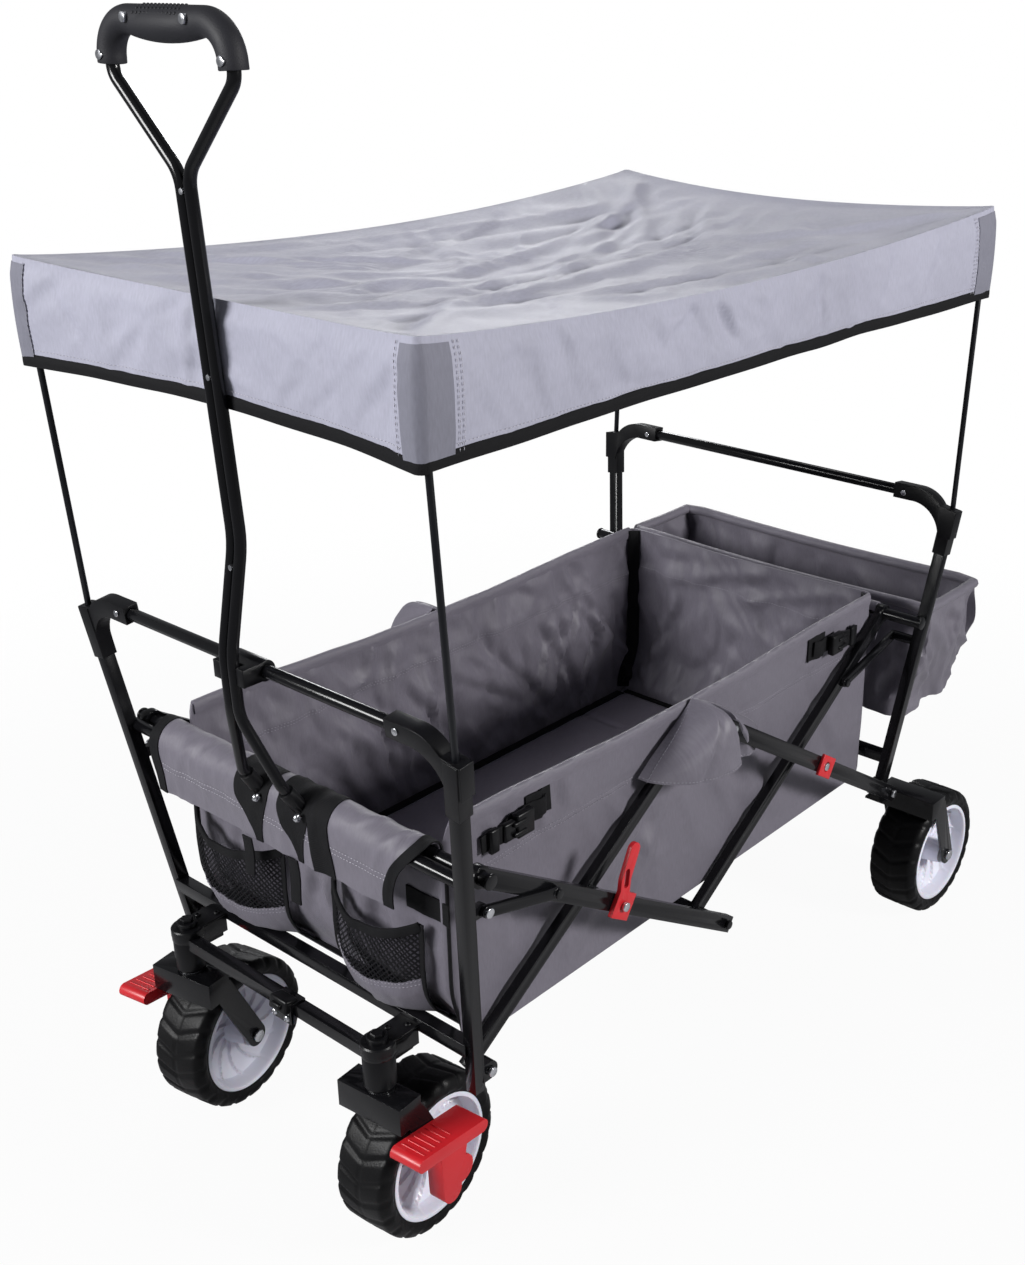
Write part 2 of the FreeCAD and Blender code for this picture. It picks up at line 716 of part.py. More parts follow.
post = make_post()
rear_post = with_rear_boss(post)
front_post = with_front_boss(post)
lower_tube = make_lower_tube()
for side, place, sign, swivel in sides:
    parts["rear_post_" + side] = place(rear_post)
    parts["front_post_" + side] = mirror_y(place(front_post))
parts["rear_connectors"] = Part.makeCompound(both_sides(connector))
parts["front_connectors"] = Part.makeCompound([mirror_y(s) for s in both_sides(connector)])
parts["rear_push_bar"] = push_bar
parts["front_push_bar"] = mirror_y(push_bar)
parts["rear_lower_tube"] = lower_tube
parts["front_lower_tube"] = mirror_y(lower_tube)
parts["rear_canopy_poles"] = Part.makeCompound(both_sides(pole))
parts["front_canopy_poles"] = Part.makeCompound([mirror_y(s) for s in both_sides(pole)])

# caster mounts: an arm from the lower tube to each upright housing, and the beam between them, welded up
housing = rod(V(caster_x, -caster_y, housing_bottom), Z_AXIS, housing_radius, housing_top - housing_bottom)
housing_collar = rod(V(caster_x, -caster_y, housing_top - 11), Z_AXIS, housing_radius + 2, 5)
arm_half = mount_width / 2
mount_arm = block(
    caster_x - arm_half, caster_x + arm_half, -caster_y, -tube_y1, mount_bottom, housing_top + 2
)
mount = housing.fuse([housing_collar, mount_arm])
half_beam = cross_beam_size / 2
beam_z = housing_top - half_beam - 5.0
beam_y0 = -caster_y - 3 - half_beam
cross_beam = block(
    -caster_x, caster_x, beam_y0, beam_y0 + cross_beam_size, beam_z - half_beam, beam_z + half_beam
)
beam_core = block(
    -caster_x + housing_radius, caster_x - housing_radius,
    beam_y0 + bar_wall, beam_y0 + cross_beam_size - bar_wall,
    beam_z - half_beam + bar_wall, beam_z + half_beam - bar_wall,
)
caster_beam = cross_beam.cut(beam_core)
caster_beam = caster_beam.fuse(both_sides(mount))
for place in (right_side, left_side):
    caster_beam = caster_beam.cut(
        place(rod(V(caster_x, -caster_y, 0), Z_AXIS, kingpin_radius + running_gap, housing_top + 100))
    )
    caster_beam = caster_beam.cut(
        place(rod(V(caster_x, -caster_y, housing_top), Z_AXIS, kingpin_head_radius + 3, 20))
    )
catch = block(
    -catch_width / 2 + catch_x, catch_width / 2 + catch_x, beam_y0 - 6, beam_y0, beam_z - 14, beam_z + 9
)
catch_lip = block(
    -catch_width / 2 + catch_x, catch_width / 2 + catch_x, beam_y0 - 6, beam_y0 + cross_beam_size,
    beam_z + half_beam, beam_z + half_beam + 2.5,
)
parts["caster_beam"] = caster_beam.fuse([catch, catch_lip]).removeSplitter()

# ---- bars, struts, pins and rim tubes, right side first ----
foot_front = (-foot_pivot_half_span, foot_pivot_z)
foot_rear = (foot_pivot_half_span, foot_pivot_z)
cross_front = (-cross_half_span, cross_height)
cross_rear = (cross_half_span, cross_height)
mid_low = (0.0, mid_low_z)
mid_high = (0.0, mid_high_z)
rim_front = (-rim_half_span, rim_z)
rim_rear = (rim_half_span, rim_z)
strut_front = (-strut_bar_y, strut_bar_z)
strut_rear = (strut_bar_y, strut_bar_z)


def drilled(shape, points, radius):
    for y, z in points:
        shape = shape.cut(along_x(0, 2 * post_top_x, y, z, radius))
    return shape


def bar_with_tee(low_end, rim_end, x_middle, height):
    """A bar whose upper end is a tee that turns on the rim tube."""
    bar = hollow_link(low_end, rim_end, x_middle, 0.0, height)
    x0 = x_middle - bar_thickness / 2
    return bar.fuse(along_x(x0, x0 + bar_thickness, rim_end[0], rim_end[1], tee_radius))


pin_hole = pin_radius + running_gap
tee_bore = rim_tube_radius + running_gap
bar_a = bar_with_tee(mid_low, rim_front, outer_bar_x, bar_height)
bar_a = drilled(bar_a, [mid_low], pin_hole)
bar_a = drilled(bar_a, [cross_front], pin_radius)
bar_a = drilled(bar_a, [rim_front], tee_bore)
bar_c = bar_with_tee(mid_low, rim_rear, inner_bar_x, slim_bar_height)
bar_c = drilled(bar_c, [mid_low], pin_hole)
bar_c = drilled(bar_c, [cross_rear], pin_radius)
bar_c = drilled(bar_c, [rim_rear], tee_bore)
bar_b = hollow_link(foot_front, mid_high, inner_bar_x, bar_overhang, slim_bar_height)
bar_b = drilled(bar_b, [foot_front, cross_front, mid_high], pin_hole)
bar_d = hollow_link(foot_rear, mid_high, outer_bar_x, bar_overhang, bar_height)
bar_d = drilled(bar_d, [foot_rear, cross_rear], pin_hole)
bar_d = drilled(bar_d, [mid_high], pin_radius)

for side, place, sign, swivel in sides:
    parts["bar_a_" + side] = place(bar_a)
    parts["bar_b_" + side] = place(bar_b)
    parts["bar_c_" + side] = place(bar_c)
    parts["bar_d_" + side] = place(bar_d)


def layered_pin(x0, x1, point, collars):
    """A pin with a head beyond its outer end and spacer collars between the layers it joins."""
    body = pin_along_x(x0, x1, point[0], point[1], pin_radius, True)
    for c0, c1 in collars:
        body = body.fuse(along_x(c0, c1, point[0], point[1], collar_radius))
    return body


layer_gap = (inner_bar_x + bar_thickness / 2 + side_gap, outer_bar_x - bar_thickness / 2 - side_gap)
latch_x = outer_face_x + side_gap
latch_end = latch_x + latch_thickness + side_gap
pin_a = layered_pin(inner_face_x, latch_end, cross_front, [layer_gap])
pin_c = layered_pin(inner_face_x, outer_face_x + side_gap, cross_rear, [layer_gap])
pin_d = layered_pin(inner_face_x, outer_face_x, mid_high, [layer_gap])
parts["pins_a"] = Part.makeCompound(both_sides(pin_a))
parts["pins_c"] = Part.makeCompound(both_sides(pin_c))
parts["pins_d"] = Part.makeCompound(both_sides(pin_d))


def make_strut(x0, post_y):
    """A flat strut with the bolt of its bar end; the bolt seats against the bar but doesn't enter it."""
    body = link(strut_rear, (post_y, strut_post_z), x0 + strut_thickness / 2, strut_thickness, strut_height)
    body = drilled(body, [(post_y, strut_post_z)], pin_hole)
    y, z = strut_rear
    return body.fuse(
        along_x(x0 + strut_thickness - 1, x0 + strut_thickness + pin_head, y, z, pin_head_radius)
    )


parts["rear_struts"] = Part.makeCompound(both_sides(make_strut(rear_strut_x, rear_strut_post_y)))
front_strut = make_strut(front_strut_x, front_strut_post_y)
parts["front_struts"] = Part.makeCompound([mirror_y(s) for s in both_sides(front_strut)])

rim_tube = pipe(
    V(
        -rim_tube_half_length, rim_half_span, rim_z
    ), X_AXIS, rim_tube_radius, rim_tube_wall, 2 * rim_tube_half_length
)
cap = along_x(rim_tube_half_length, rim_tube_half_length + 2.5, rim_half_span, rim_z, rim_tube_radius + 0.8)
rim_set = [rim_tube, cap, mirror_x(cap)]
parts["rear_rim_tube"] = Part.makeCompound(rim_set)
parts["front_rim_tube"] = Part.makeCompound([mirror_y(s) for s in rim_set])

# pins of the end frames: foot pivots, strut pivots, connector bolts and rear axles
front_strut_pin = pin_along_x(
    front_strut_x - 8, front_strut_x + strut_thickness + running_gap, front_strut_post_y, strut_post_z,
    pin_radius, True
)
rear_strut_pin = pin_along_x(
    rear_strut_x - running_gap, rear_strut_x + strut_thickness + 12, rear_strut_post_y, strut_post_z,
    pin_radius, False
)
rear_strut_pin = rear_strut_pin.cut(
    along_x(
        0, rear_strut_x - running_gap - pin_head_low, rear_strut_post_y, strut_post_z, pin_head_radius + 1
    )
)
post_outer = post_foot_x + post_size / 2
post_inner = post_foot_x - post_size / 2
rear_collar = (post_outer + lean_gap, outer_bar_x - bar_thickness / 2 - side_gap)
rear_foot_pin = layered_pin(post_inner, outer_face_x + side_gap, foot_rear, [rear_collar])
front_foot_pin = layered_pin(inner_face_x, post_outer + lean_gap, foot_rear, [])
bolt_x = mouth_x + 14
rear_bolt = rod(V(bolt_x, bolt_face - 1.6, push_bar_z), Y_AXIS, 3.6, 3.0).cut(connector)
front_bolt = rod(V(bolt_x, outer_face_y - 1.4, push_bar_z), Y_AXIS, 3.6, 3.0).cut(connector)
rear_pins = [rear_strut_pin, rear_foot_pin, rear_bolt, rear_axle]
front_pins = [front_strut_pin, front_foot_pin, front_bolt]
parts["rear_frame_pins"] = Part.makeCompound([s for pin in rear_pins for s in both_sides(pin)])
parts["front_frame_pins"] = Part.makeCompound([mirror_y(s) for pin in front_pins for s in both_sides(pin)])

# middle cross tube: the bars' lower middle pivots are its ends, and a rail on it carries the floor
cross_tube_end = inner_face_x - side_gap
end_pin = layered_pin(cross_tube_end, outer_face_x + side_gap, mid_low, [layer_gap])
middle_tube = along_x(-cross_tube_end, cross_tube_end, 0, mid_low_z, rim_tube_radius)
rest_rail = block(
    -rest_rail_half_length, rest_rail_half_length, -rest_rail_half_width, rest_rail_half_width,
    mid_low_z, basket_bottom,
)
middle_tube = middle_tube.fuse(rest_rail)
core = rim_tube_radius - rim_tube_wall
middle_tube = middle_tube.cut(along_x(-cross_tube_end + 8, cross_tube_end - 8, 0, mid_low_z, core))
middle_tube = middle_tube.fuse(both_sides(end_pin))
parts["middle_tube"] = middle_tube


# ---- latches at the crossings ----
def make_latch():
    """A red plate over the front crossing with a slotted finger arm, turning on the crossing's pin."""
    middle = latch_x + latch_thickness / 2
    y, z = cross_front
    half = latch_plate / 2
    body = block(latch_x, latch_x + latch_thickness, y - half, y + half, z - half, z + half)
    body.rotate(V(0, y, z), X_AXIS, -bar_angle)
    knee = (y + 4, z + latch_arm * 0.5)
    tip = (y + 18, z + latch_arm)
    body = body.fuse(link((y, z), knee, middle, latch_thickness, latch_arm_width))
    body = body.fuse(link(knee, tip, middle, latch_thickness, latch_arm_width))
    slot = link((knee[0], knee[1] - 6), (knee[0] + 2, knee[1] + 8), middle, latch_thickness + 2, 7.0)
    return drilled(body.cut(slot), [cross_front], pin_hole).removeSplitter()


latch = make_latch()
parts["latch_right"] = latch
parts["latch_left"] = mirror_x(latch)
clamp = block(
    outer_face_x, outer_face_x + clamp_thickness, cross_half_span - clamp_width / 2,
    cross_half_span + clamp_width / 2, cross_height - clamp_height / 2, cross_height + clamp_height / 2,
)
clamp.rotate(V(0, cross_half_span, cross_height), X_AXIS, -bar_angle)
clamp = drilled(clamp, [cross_rear], pin_head_radius + 1.0)
parts["rear_clamps"] = Part.makeCompound(both_sides(clamp))


# ---- pull handle ----
def make_handle_bar():
    """The cross bar between the front posts that the pull handle turns on, cut to fit against them."""
    reach = post_at(rim_z)[0]
    bar = pipe(V(-reach, -handle_bar_y, rim_z), X_AXIS, handle_bar_radius, handle_bar_wall, 2 * reach)
    low = post_point(post_bottom_z)
    high = post_point(post_top_z)
    for place in (right_side, left_side):
        bar = bar.cut(mirror_y(place(leaning_box(low, high, post_size))))
    middle = [s for s in bar.Solids if s.BoundBox.XMin < 0 < s.BoundBox.XMax]
    return middle[0]


parts["handle_bar"] = make_handle_bar()
handle_points = [
    V(yoke_x, -handle_bar_y - 10, rim_z + 8),
    V(yoke_x - 1.5, -handle_bar_y - 25, rim_z + 32),
    V(handle_pair_x, -handle_meet_y, handle_meet_z),
    V(handle_pair_x, -handle_lower_bend_y, handle_lower_bend_z),
    V(handle_pair_x, -handle_upper_bend_y, handle_upper_bend_z),
    V(handle_pair_x, -handle_lean_y, handle_fork_z),
    V(handle_spread_x, -handle_plane_y, handle_top_z),
    V(handle_spread_x, -handle_plane_y, handle_top_z + 20),
]
handle_path = rounded_path(handle_points, [25.0, 60.0, 120.0, 120.0, 30.0, 18.0])
handle_tube = swept(handle_path, handle_tube_radius, handle_tube_wall)
handle_core = swept(handle_path, handle_tube_radius, 0)


def make_yoke():
    """A plastic socket that clips round the cross bar and holds the lower end of one handle tube."""
    half = yoke_width / 2
    ring = along_x(yoke_x - half, yoke_x + half, -handle_bar_y, rim_z, yoke_radius)
    start = handle_points[0]
    axis = (handle_points[1] - start).normalize()
    socket = rod(start - axis * 6, axis, socket_radius, socket_length)
    body = ring.fuse(socket)
    body = body.cut(along_x(0, 100, -handle_bar_y, rim_z, handle_bar_radius + running_gap))
    return body.cut(handle_core).removeSplitter()


yoke = sorted(make_yoke().Solids, key=lambda s: -s.Volume)[0]
parts["handle_yokes"] = Part.makeCompound(both_sides(yoke))
parts["handle_tubes"] = Part.makeCompound(both_sides(handle_tube))
grip_points = [
    V(handle_spread_x, -handle_plane_y, handle_top_z + 8),
    V(handle_spread_x - 2, -handle_plane_y, handle_top_z + grip_rise),
    V(-handle_spread_x + 2, -handle_plane_y, handle_top_z + grip_rise),
    V(-handle_spread_x, -handle_plane_y, handle_top_z + 8),
]
grip_path = rounded_path(grip_points, [grip_corner_radius, grip_corner_radius])
grip = swept(grip_path, grip_radius, 0)
belly_z = handle_top_z + grip_rise - grip_belly_drop
belly_arc = arc_through([V(-56, 0, 7), V(0, 0, grip_belly), V(56, 0, 7)])
belly_line = Part.makePolygon([V(56, 0, 7), V(56, 0, 0), V(-56, 0, 0), V(-56, 0, 7)])
belly = Part.Face(Part.Wire([belly_arc] + belly_line.Edges)).revolve(V(0, 0, 0), X_AXIS, 360)
belly.translate(V(0, -handle_plane_y, belly_z))
grip = grip.fuse(belly)
for place in (right_side, left_side):
    grip = grip.cut(place(handle_core))
parts["handle_grip"] = sorted(grip.Solids, key=lambda s: -s.Volume)[0]


def handle_y(z):
    """How far forward the middle of the two tubes is at height z, between their meeting and the fork."""
    if z < handle_lower_bend_z:
        share = (z - handle_meet_z) / (handle_lower_bend_z - handle_meet_z)
        return -handle_meet_y + share * (handle_meet_y - handle_lower_bend_y)
    if z < handle_upper_bend_z:
        share = (z - handle_lower_bend_z) / (handle_upper_bend_z - handle_lower_bend_z)
        return -handle_lower_bend_y + share * (handle_lower_bend_y - handle_upper_bend_y)
    share = (z - handle_upper_bend_z) / (handle_fork_z - handle_upper_bend_z)
    return -handle_upper_bend_y + share * (handle_upper_bend_y - handle_lean_y)


rivets = []
rivet_length = 2 * handle_tube_radius + 1.0
for rivet_z in (handle_fork_z - 14, post_top_z + middle_rivet_rise, handle_upper_bend_z - 22):
    rivets.append(rod(V(0, handle_y(rivet_z) - rivet_length / 2, rivet_z), Y_AXIS, 2.6, rivet_length))
screw_z = handle_top_z + grip_rise + 2
for screw_x in (-handle_spread_x * 0.49, handle_spread_x * 0.49):
    rivets.append(rod(V(screw_x, -handle_plane_y - grip_radius - 2.4, screw_z), Y_AXIS, screw_radius, 5.0))
for screw_x in (-handle_spread_x, handle_spread_x):
    rivets.append(
        rod(V(screw_x, -handle_plane_y - grip_radius - 1.0, handle_top_z + 15), Y_AXIS, screw_radius, 4.0)
    )
rivet_set = Part.makeCompound(rivets)
for other in (handle_core, mirror_x(handle_core), parts["handle_grip"]):
    rivet_set = rivet_set.cut(other)
parts["handle_rivets"] = rivet_set

# clip on the front push bar that holds the handle upright
clip_back = -post_top_y
clip_ring = along_x(-clip_width / 2, clip_width / 2, clip_back, push_bar_z, push_bar_radius + clip_wall)
clip_front = handle_y(push_bar_z) - handle_tube_radius + 3
clip_block = block(-clip_width / 2, clip_width / 2, clip_front, clip_back, push_bar_z - 9, push_bar_z + 9)
clip = clip_ring.fuse(clip_block).cut(
    along_x(-clip_width, clip_width, clip_back, push_bar_z, push_bar_radius)
)
slot_half = handle_pair_x + handle_tube_radius + seat_gap
slot_back = max(handle_y(push_bar_z - 9), handle_y(push_bar_z + 9)) + handle_tube_radius + 1.5
clip = clip.cut(block(-slot_half, slot_half, clip_front - 5, slot_back, 0, 2 * push_bar_z))
parts["handle_clip"] = clip


# ---- soft goods ----
def open_box(x0, x1, y0, y1, z0, z1, wall):
    return block(x0, x1, y0, y1, z0, z1).cut(
        block(x0 + wall, x1 - wall, y0 + wall, y1 - wall, z0 + wall, z1 + 1)
    )


parts["basket"] = open_box(
    -basket_half_width, basket_half_width, -basket_half_length, basket_half_length,
    basket_bottom, basket_top, fabric_thickness,
)
board_x = basket_half_width - fabric_thickness - 2
board_y = basket_half_length - fabric_thickness - 2
board_z = basket_bottom + fabric_thickness
board_pitch = 2 * board_y / board_count
boards = []
for index in range(board_count):
    start = -board_y + index * board_pitch + board_gap / 2
    boards.append(
        block(-board_x, board_x, start, start + board_pitch - board_gap, board_z, board_z + board_thickness)
    )
parts["floor_boards"] = Part.makeCompound(boards)
pockets = []
for low_x, high_x in (left_pocket_span, right_pocket_span):
    outer = block(
        low_x, high_x, -basket_half_length - pocket_depth, -basket_half_length, pocket_bottom, pocket_top
    )
    w = fabric_thickness
    inner = block(
        low_x + w, high_x - w, -basket_half_length - pocket_depth + w, -basket_half_length + 1,
        pocket_bottom + w, pocket_top + 1,
    )
    pockets.append(outer.cut(inner))
parts["front_pockets"] = Part.makeCompound(pockets)

bag = open_box(
    -bag_half_width, bag_half_width, bag_front, bag_front + bag_depth, bag_bottom, bag_top, fabric_thickness
)
strap_z = bag_top - bag_strap_drop
strap_x, strap_y = post_at(strap_z)
strap_face = strap_y + post_size / 2 + seat_gap + 1.0
bag_strap = block(strap_x - 8, bag_half_width, strap_face, bag_front, strap_z - 6, strap_z + 6)
bag = bag.fuse(both_sides(bag_strap))
parts["rear_bag"] = bag



def canopy_point(u, v, inset):
    """A place on the roof; u runs from -1 to 1 over the width and v over the length."""
    x = u * (canopy_half_width - inset - canopy_side_bow * (1 - v * v))
    y = v * (canopy_half_length - inset - canopy_end_bow * (1 - u * u))
    z = canopy_top - inset - canopy_side_sag * (1 - v * v) - canopy_end_sag * (1 - u * u)
    return V(x, y, z)


def canopy_body(inset, bottom):
    """The space under a roof hung from four corners: its sides curve in and its cloth sags between them."""
    places = [-1 + 2 * k / canopy_spans for k in range(canopy_spans + 1)]
    roof = Part.BSplineSurface()
    roof.interpolate([[canopy_point(u, v, inset) for v in places] for u in places])
    roof_face = roof.toShape()
    faces = [roof_face]
    rims = []
    for edge_points in (
        [canopy_point(-1, v, inset) for v in places],
        [canopy_point(1, v, inset) for v in places],
        [canopy_point(u, -1, inset) for u in places],
        [canopy_point(u, 1, inset) for u in places],
    ):
        low_curve = Part.BSplineCurve()
        low_curve.interpolate([V(point.x, point.y, bottom) for point in edge_points])
        low_edge = low_curve.toShape()
        high_edge = nearest_edge(roof_face, edge_points[canopy_spans // 2])
        faces.append(Part.makeRuledSurface(high_edge, low_edge))
        rims.append(low_edge)
    faces.append(Part.Face(Part.Wire(Part.__sortEdges__(rims))))
    shell = Part.makeShell(faces)
    shell.sewShape()
    body = Part.makeSolid(Part.Shell(shell.Faces))
    body.fix(0.001, 0.001, 0.001)
    if body.Volume < 0:
        body.reverse()
    return body


def nearest_edge(face, point):
    spot = Part.Vertex(point)
    return min(face.Edges, key=lambda edge: edge.distToShape(spot)[0])


t = fabric_thickness
canopy = canopy_body(0, canopy_hem).cut(canopy_body(t, canopy_hem - 1))
parts["canopy"] = canopy

# ---- the origin goes under the middle of the whole wagon ----
whole = FreeCAD.BoundBox()
for shape in parts.values():
    whole.add(shape.optimalBoundingBox(False, False))
shift = V(-(whole.XMin + whole.XMax) / 2, -(whole.YMin + whole.YMax) / 2, -whole.ZMin)

os.makedirs("parts", exist_ok=True)
for name, shape in parts.items():
    placed = shape.copy()
    placed.translate(shift)
    placed.exportStep("parts/" + name + ".step")
print("nodes", len(parts), "shift", [round(c, 4) for c in shift])
print("size", round(whole.XLength, 1), round(whole.YLength, 1), round(whole.ZLength, 1))
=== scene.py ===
import json
import math
import random

import bmesh
import bpy
from mathutils import Matrix, Vector, noise


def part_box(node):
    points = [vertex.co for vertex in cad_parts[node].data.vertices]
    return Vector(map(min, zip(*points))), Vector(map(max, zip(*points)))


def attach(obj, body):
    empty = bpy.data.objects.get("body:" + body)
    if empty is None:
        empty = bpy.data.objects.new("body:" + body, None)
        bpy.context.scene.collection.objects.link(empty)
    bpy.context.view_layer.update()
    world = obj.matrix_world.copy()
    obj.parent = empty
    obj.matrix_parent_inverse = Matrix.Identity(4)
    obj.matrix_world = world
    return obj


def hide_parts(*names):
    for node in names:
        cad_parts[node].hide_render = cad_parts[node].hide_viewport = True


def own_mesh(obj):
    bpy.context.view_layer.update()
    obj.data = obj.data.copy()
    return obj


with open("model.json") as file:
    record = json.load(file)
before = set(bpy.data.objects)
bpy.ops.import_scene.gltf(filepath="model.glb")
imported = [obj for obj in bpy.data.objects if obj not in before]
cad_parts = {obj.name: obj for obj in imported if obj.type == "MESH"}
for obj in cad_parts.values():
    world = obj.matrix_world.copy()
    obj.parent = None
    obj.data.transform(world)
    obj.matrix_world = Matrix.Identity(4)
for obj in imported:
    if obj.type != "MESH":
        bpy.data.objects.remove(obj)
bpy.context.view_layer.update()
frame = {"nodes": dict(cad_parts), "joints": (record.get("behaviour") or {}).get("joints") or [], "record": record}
record = frame["record"]
SLOT_OF = {part["node"]: part["material_slot"] for part in record["subparts"]}
BODY_OF = {node: body for body, members in record["behaviour"]["bodies"].items() for node in members}
JOINTS = {joint["name"]: joint for joint in frame["joints"]}
SIDES = (("right", 1), ("left", -1))
MM = 0.001
scene = bpy.context.scene
# A fixed seed lets the fine creases, which follow vector noise, fall the same way on each run.
noise.seed_set(1795368680)


def middle(node):
    low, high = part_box(node)
    return [(a + b) / 2 for a, b in zip(low, high)]


# The fold's own middle, from which every place below is given in millimetres.
FOLD_Y = middle("middle_tube")[1]


def at(x, y, z):
    return Vector((x * MM, y * MM + FOLD_Y, z * MM))


def half_span(node, axis):
    """Half of a CAD node's extent along one axis, in millimetres."""
    low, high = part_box(node)
    return (high[axis] - low[axis]) / 2 / MM


# ---------------------------------------------------------------- shader nodes
def build(tree, kinds, links):
    """Adds nodes, each with its inputs or attributes, and the links between them as (node, socket) pairs."""
    made = {}
    for label, (kind, values) in kinds.items():
        made[label] = tree.nodes.new(kind)
        for key, value in values.items():
            if isinstance(key, int) or key in made[label].inputs:
                made[label].inputs[key].default_value = value
            else:
                setattr(made[label], key, value)
    for source, output, target, socket in links:
        tree.links.new(made[source].outputs[output], made[target].inputs[socket])
    return made


class Shader:
    """A small writer for one material's node tree around a Principled BSDF."""

    def __init__(self, name, color, roughness, **sockets):
        self.material = bpy.data.materials.new(name)
        self.material.use_nodes = True
        self.tree = self.material.node_tree
        self.surface = self.tree.nodes["Principled BSDF"]
        self.color = color
        self.roughness = roughness
        self.set("Base Color", (*color, 1.0))
        self.set("Roughness", roughness)
        for key, value in sockets.items():
            self.set(key.replace("_", " ").title().replace("Ior", "IOR"), value)
        self.coords = self.tree.nodes.new("ShaderNodeTexCoord")

    def set(self, socket, value):
        self.surface.inputs[socket].default_value = value

    def link(self, source, target):
        self.tree.links.new(source, target)

    def node(self, kind, **values):
        return build(self.tree, {"only": (kind, values)}, ())["only"]

    def where(self, space="Object", scale=(1, 1, 1), turn=(0, 0, 0)):
        mapping = self.node("ShaderNodeMapping", Scale=scale, Rotation=turn)
        self.link(self.coords.outputs[space], mapping.inputs["Vector"])
        return mapping.outputs["Vector"]

    def noise(self, scale, detail=2.0, space="Object", stretch=(1, 1, 1), rough=0.5):
        made = self.node("ShaderNodeTexNoise", Scale=scale, Detail=detail, Roughness=rough)
        self.link(self.where(space, stretch), made.inputs["Vector"])
        return made.outputs["Fac"]

    def wave(self, scale, direction, turn=(0, 0, 0)):
        """Threads on the UV map, side by side along a direction."""
        made = self.node("ShaderNodeTexWave", Scale=scale, Distortion=0.0)
        made.bands_direction = direction
        made.wave_profile = "SIN"
        self.link(self.where("UV", (1, 1, 1), turn), made.inputs["Vector"])
        return made.outputs["Fac"]

    def math(self, operation, a, b):
        made = self.node("ShaderNodeMath", operation=operation)
        for socket, value in zip(made.inputs, (a, b)):
            if isinstance(value, float):
                socket.default_value = value
            else:
                self.link(value, socket)
        return made.outputs[0]

    def span(self, value, low, high, to_low, to_high):
        limits = {"From Min": low, "From Max": high, "To Min": to_low, "To Max": to_high}
        made = self.node("ShaderNodeMapRange", **limits)
        self.link(value, made.inputs["Value"])
        return made.outputs["Result"]

    def tint(self, factor, amount):
        """Colour drifts lighter and darker by `amount` with the factor."""
        made = self.node("ShaderNodeMix", data_type="RGBA")
        self.link(factor, made.inputs["Factor"])
        made.inputs["A"].default_value = (*(c * (1 - amount) for c in self.color), 1.0)
        made.inputs["B"].default_value = (*(min(1.0, c * (1 + amount)) for c in self.color), 1.0)
        self.link(made.outputs["Result"], self.surface.inputs["Base Color"])

    def gloss(self, factor, amount):
        drift = self.span(factor, 0.3, 0.7, self.roughness - amount, self.roughness + amount)
        self.link(drift, self.surface.inputs["Roughness"])

    def bump(self, height, distance, strength=1.0):
        made = self.node("ShaderNodeBump", Strength=strength, Distance=distance)
        self.link(height, made.inputs["Height"])
        previous = self.surface.inputs["Normal"]
        if previous.is_linked:
            self.link(previous.links[0].from_socket, made.inputs["Normal"])
        self.link(made.outputs["Normal"], previous)


def hard_finish(name, color, roughness, grain, depth, **sockets):
    """Moulded plastic or powder coat: fine grain, faint mottling, uneven gloss."""
    shader = Shader(name, color, roughness, **sockets)
    shader.tint(shader.noise(9.0, 3.0), 0.22)
    shader.gloss(shader.noise(26.0, 3.0), 0.05)
    shader.bump(shader.noise(grain, 2.0), depth)
    return shader.material


def cloth_finish(name, color, thread, depth, crease, roughness, drift=0.1, sheen=0.25, shine=0.42):
    """Woven cloth on the piece's own UV map, in metres: crossing threads, slubs and soft creases."""
    shader = Shader(name, color, roughness, sheen_weight=sheen, sheen_roughness=0.5, specular_ior_level=shine)
    weave = shader.math("MULTIPLY", shader.wave(thread, "X"), shader.wave(thread * 0.93, "Y"))
    slub = shader.noise(thread * 1.1, 2.0, "UV", (1.0, 0.22, 1.0))
    broad = shader.noise(7.0, 3.0)
    mixed = shader.math("ADD", shader.math("MULTIPLY", slub, 0.55), shader.math("MULTIPLY", broad, 0.45))
    shader.tint(shader.span(mixed, 0.32, 0.68, 0.0, 1.0), drift)
    shader.bump(weave, depth, 0.7)
    shader.bump(slub, depth * 1.2, 0.5)
    if crease:
        shader.bump(shader.noise(16.0, 4.0, "Object", (1, 1, 1), 0.6), crease, 0.6)
    return shader.material


def metal_finish(name, color, roughness):
    shader = Shader(name, color, roughness, metallic=1.0)
    shader.gloss(shader.noise(220.0, 2.0), 0.08)
    shader.bump(shader.noise(700.0, 1.0), 0.00008, 0.4)
    return shader.material


def net_finish(name, color, cell):
    """Open knitted mesh: thin threads with holes between them, on the UV map."""
    shader = Shader(name, color, 0.75, specular_ior_level=0.15)
    crossing = [shader.wave(cell, "X", (0, 0, math.radians(turn))) for turn in (45, -45)]
    thread = shader.math("MAXIMUM", *crossing)
    shader.bump(thread, 0.0006, 0.8)
    shader.link(shader.span(thread, 0.7, 0.8, 0.0, 1.0), shader.surface.inputs["Alpha"])
    shader.tint(shader.noise(120.0), 0.3)
    return shader.material


